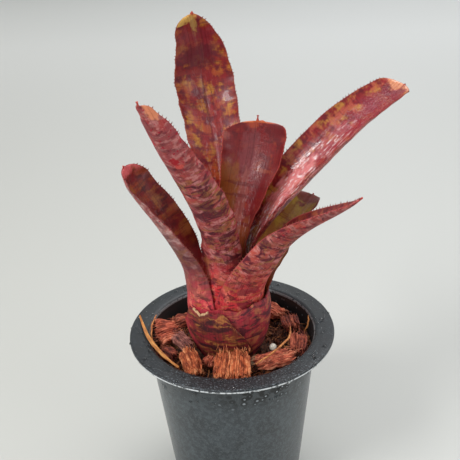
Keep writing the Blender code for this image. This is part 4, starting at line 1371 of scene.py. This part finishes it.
class BROMELIAD_OT_water(bpy.types.Operator):
    """Bead the pot's lip and wall with the last watering"""
    bl_idname = "bromeliad.water"
    bl_label = "Water drops"

    def execute(self, context):
        work = bmesh.new()
        work.from_mesh(bpy.data.objects["nursery_pot"].data)
        inner_wall, lowest = 36.5, 45
        dry = []
        for face in work.faces:
            middle = face.calc_center_median() / MM
            reach = math.hypot(middle.x, middle.y)
            outside = face.normal.z > -0.3 and reach > inner_wall and middle.z > lowest
            patchy = noise.noise(middle * 0.05 + Vector((3, 1, 0))) > -0.25
            if not (outside and patchy):
                dry.append(face)
        bmesh.ops.delete(work, geom=dry, context="FACES")
        thing = add_object("pot_drops", new_mesh("wet_pot", work))
        growth = Growth("beads of water")
        density = growth.size("Density", context.scene.bromeliad_pot.drops * 1e4)
        small = growth.size("Smallest", 0.12 * MM)
        large = growth.size("Largest", 1.1 * MM)
        ball = growth.node("GeometryNodeMeshUVSphere", None, {"Segments": 10, "Rings": 6, "Radius": 1.0})
        bead = growth.node("GeometryNodeTransform", None, {"Geometry": ball, "Scale": (1, 1, 0.55)})
        points, turn = growth.scatter(density, 6)
        scale = small + (large - small) * growth.random(0, 1, 4) ** 5
        beads = growth.put_on(points, bead, scale, Rotation=turn)
        smooth = growth.node("GeometryNodeSetShadeSmooth", None, {"Geometry": beads})
        keep(growth.finish_on(thing, smooth, water_skin()), "pot_plastic")
        return {"FINISHED"}


class BROMELIAD_OT_stage(bpy.types.Operator):
    """Set the pale sweep, the soft light and the camera"""
    bl_idname = "bromeliad.stage"
    bl_label = "Stage"

    def execute(self, context):
        look = context.scene.bromeliad_stage
        self.sweep(look)
        tilt = (math.radians(-35), math.radians(30), 0)
        self.lamp("ceiling_panel", "SUN", look.ceiling, (0, 0, 0), tilt, angle=math.radians(70))
        for name, (place, target, size, share) in SOFTBOXES.items():
            turn = (Vector(target) - Vector(place)).to_track_quat("-Z", "Y").to_euler()
            self.lamp(name, "AREA", look.softbox * share, place, turn, shape="DISK", size=size)
        world = bpy.data.worlds.new("studio")
        world.use_nodes = True
        background = world.node_tree.nodes["Background"]
        background.inputs["Color"].default_value = (0.93, 0.96, 1, 1)
        background.inputs["Strength"].default_value = look.sky
        context.scene.world = world
        context.scene.view_settings.view_transform = "Standard"
        self.camera(context.scene)
        return {"FINISHED"}

    def sweep(self, look):
        """A floor that rises into a backdrop behind the pot."""
        backdrop = Finish("sweep_paper")
        side, depth, _ = backdrop.parts(backdrop.node("ShaderNodeTexCoord", output="Object"))
        # Painted light: the paper turns paler further back, and painted shade darkens its left side.
        painted_light_paper = backdrop.blend(depth.between(0.1, 1.6), look.floor, look.far)
        shaded = 1 - (side / (depth + 0.5)).between(-0.35, 0.25)
        backdrop.surface(base_color=backdrop.shade(0.25 + 0.75 * shaded, painted_light_paper, tone(237, 236, 233)),
                         roughness=0.9)
        profile = [(-3, 0), (4, 0), *arc_points((4, 1), 1, -80, 0, 9), (5, 4)]
        work = bmesh.new()
        rows = [[work.verts.new((side, y, z)) for side in (-4, 4)] for y, z in profile]
        for near, far in zip(rows, rows[1:]):
            work.faces.new((near[0], near[1], far[1], far[0]))
        mesh = new_mesh("sweep", work)
        mesh.shade_smooth()
        add_object("sweep", mesh, backdrop.material)

    def lamp(self, name, kind, power, place, turn, **settings):
        light = bpy.data.lights.new(name, kind)
        light.energy = power
        for key, value in settings.items():
            setattr(light, key, value)
        thing = add_object(name, light)
        thing.location, thing.rotation_euler = place, turn

    def camera(self, scene):
        view, lean, roll, distance = 40, math.radians(24.65), math.radians(-2.54), 260.9
        target = Vector((1.1, 0, 126.5)) * MM
        back = Vector((0, -math.cos(lean), math.sin(lean)))
        level, rise = Vector((1, 0, 0)), Vector((0, math.sin(lean), math.cos(lean)))
        right = level * math.cos(roll) + rise * math.sin(roll)
        up = rise * math.cos(roll) - level * math.sin(roll)
        lens = bpy.data.cameras.new("camera")
        lens.sensor_width = 36
        lens.lens = lens.sensor_width / 2 / math.tan(math.radians(view / 2))
        lens.clip_start = 0.01
        camera = add_object("camera", lens)
        turn = Matrix((right, up, back)).transposed()
        camera.matrix_world = Matrix.Translation(target + back * distance * MM) @ turn.to_4x4()
        scene.camera = camera


class BROMELIAD_PT_panel(bpy.types.Panel):
    """Sizes and colours, and a button for every group of pieces"""
    bl_label = "Potted Bromeliad"
    bl_idname = "BROMELIAD_PT_panel"
    bl_space_type = "VIEW_3D"
    bl_region_type = "UI"
    bl_category = "Bromeliad"

    def draw(self, context):
        for group in ("bromeliad_pot", "bromeliad_leaves", "bromeliad_bark", "bromeliad_stage"):
            box = self.layout.box()
            settings = getattr(context.scene, group)
            for name in settings.__annotations__:
                box.prop(settings, name)
        for step in STEPS:
            self.layout.operator(step.bl_idname)


GROUPS = {"bromeliad_pot": PotSizes, "bromeliad_leaves": LeafLook, "bromeliad_bark": BarkLook,
          "bromeliad_stage": StageLook}
STEPS = (BROMELIAD_OT_stage, BROMELIAD_OT_pot, BROMELIAD_OT_mix, BROMELIAD_OT_chips, BROMELIAD_OT_loose,
         BROMELIAD_OT_leaves, BROMELIAD_OT_old_sheaths, BROMELIAD_OT_hidden, BROMELIAD_OT_water)
CLASSES = (*GROUPS.values(), *STEPS, BROMELIAD_PT_panel)


def register():
    for thing in CLASSES:
        bpy.utils.register_class(thing)
    for name, group in GROUPS.items():
        setattr(bpy.types.Scene, name, PointerProperty(type=group))


def unregister():
    for name in GROUPS:
        delattr(bpy.types.Scene, name)
    for thing in reversed(CLASSES):
        bpy.utils.unregister_class(thing)


def main():
    register()
    for step in STEPS:
        group, name = step.bl_idname.split(".")
        getattr(getattr(bpy.ops, group), name)()


if __name__ == "__main__":
    main()
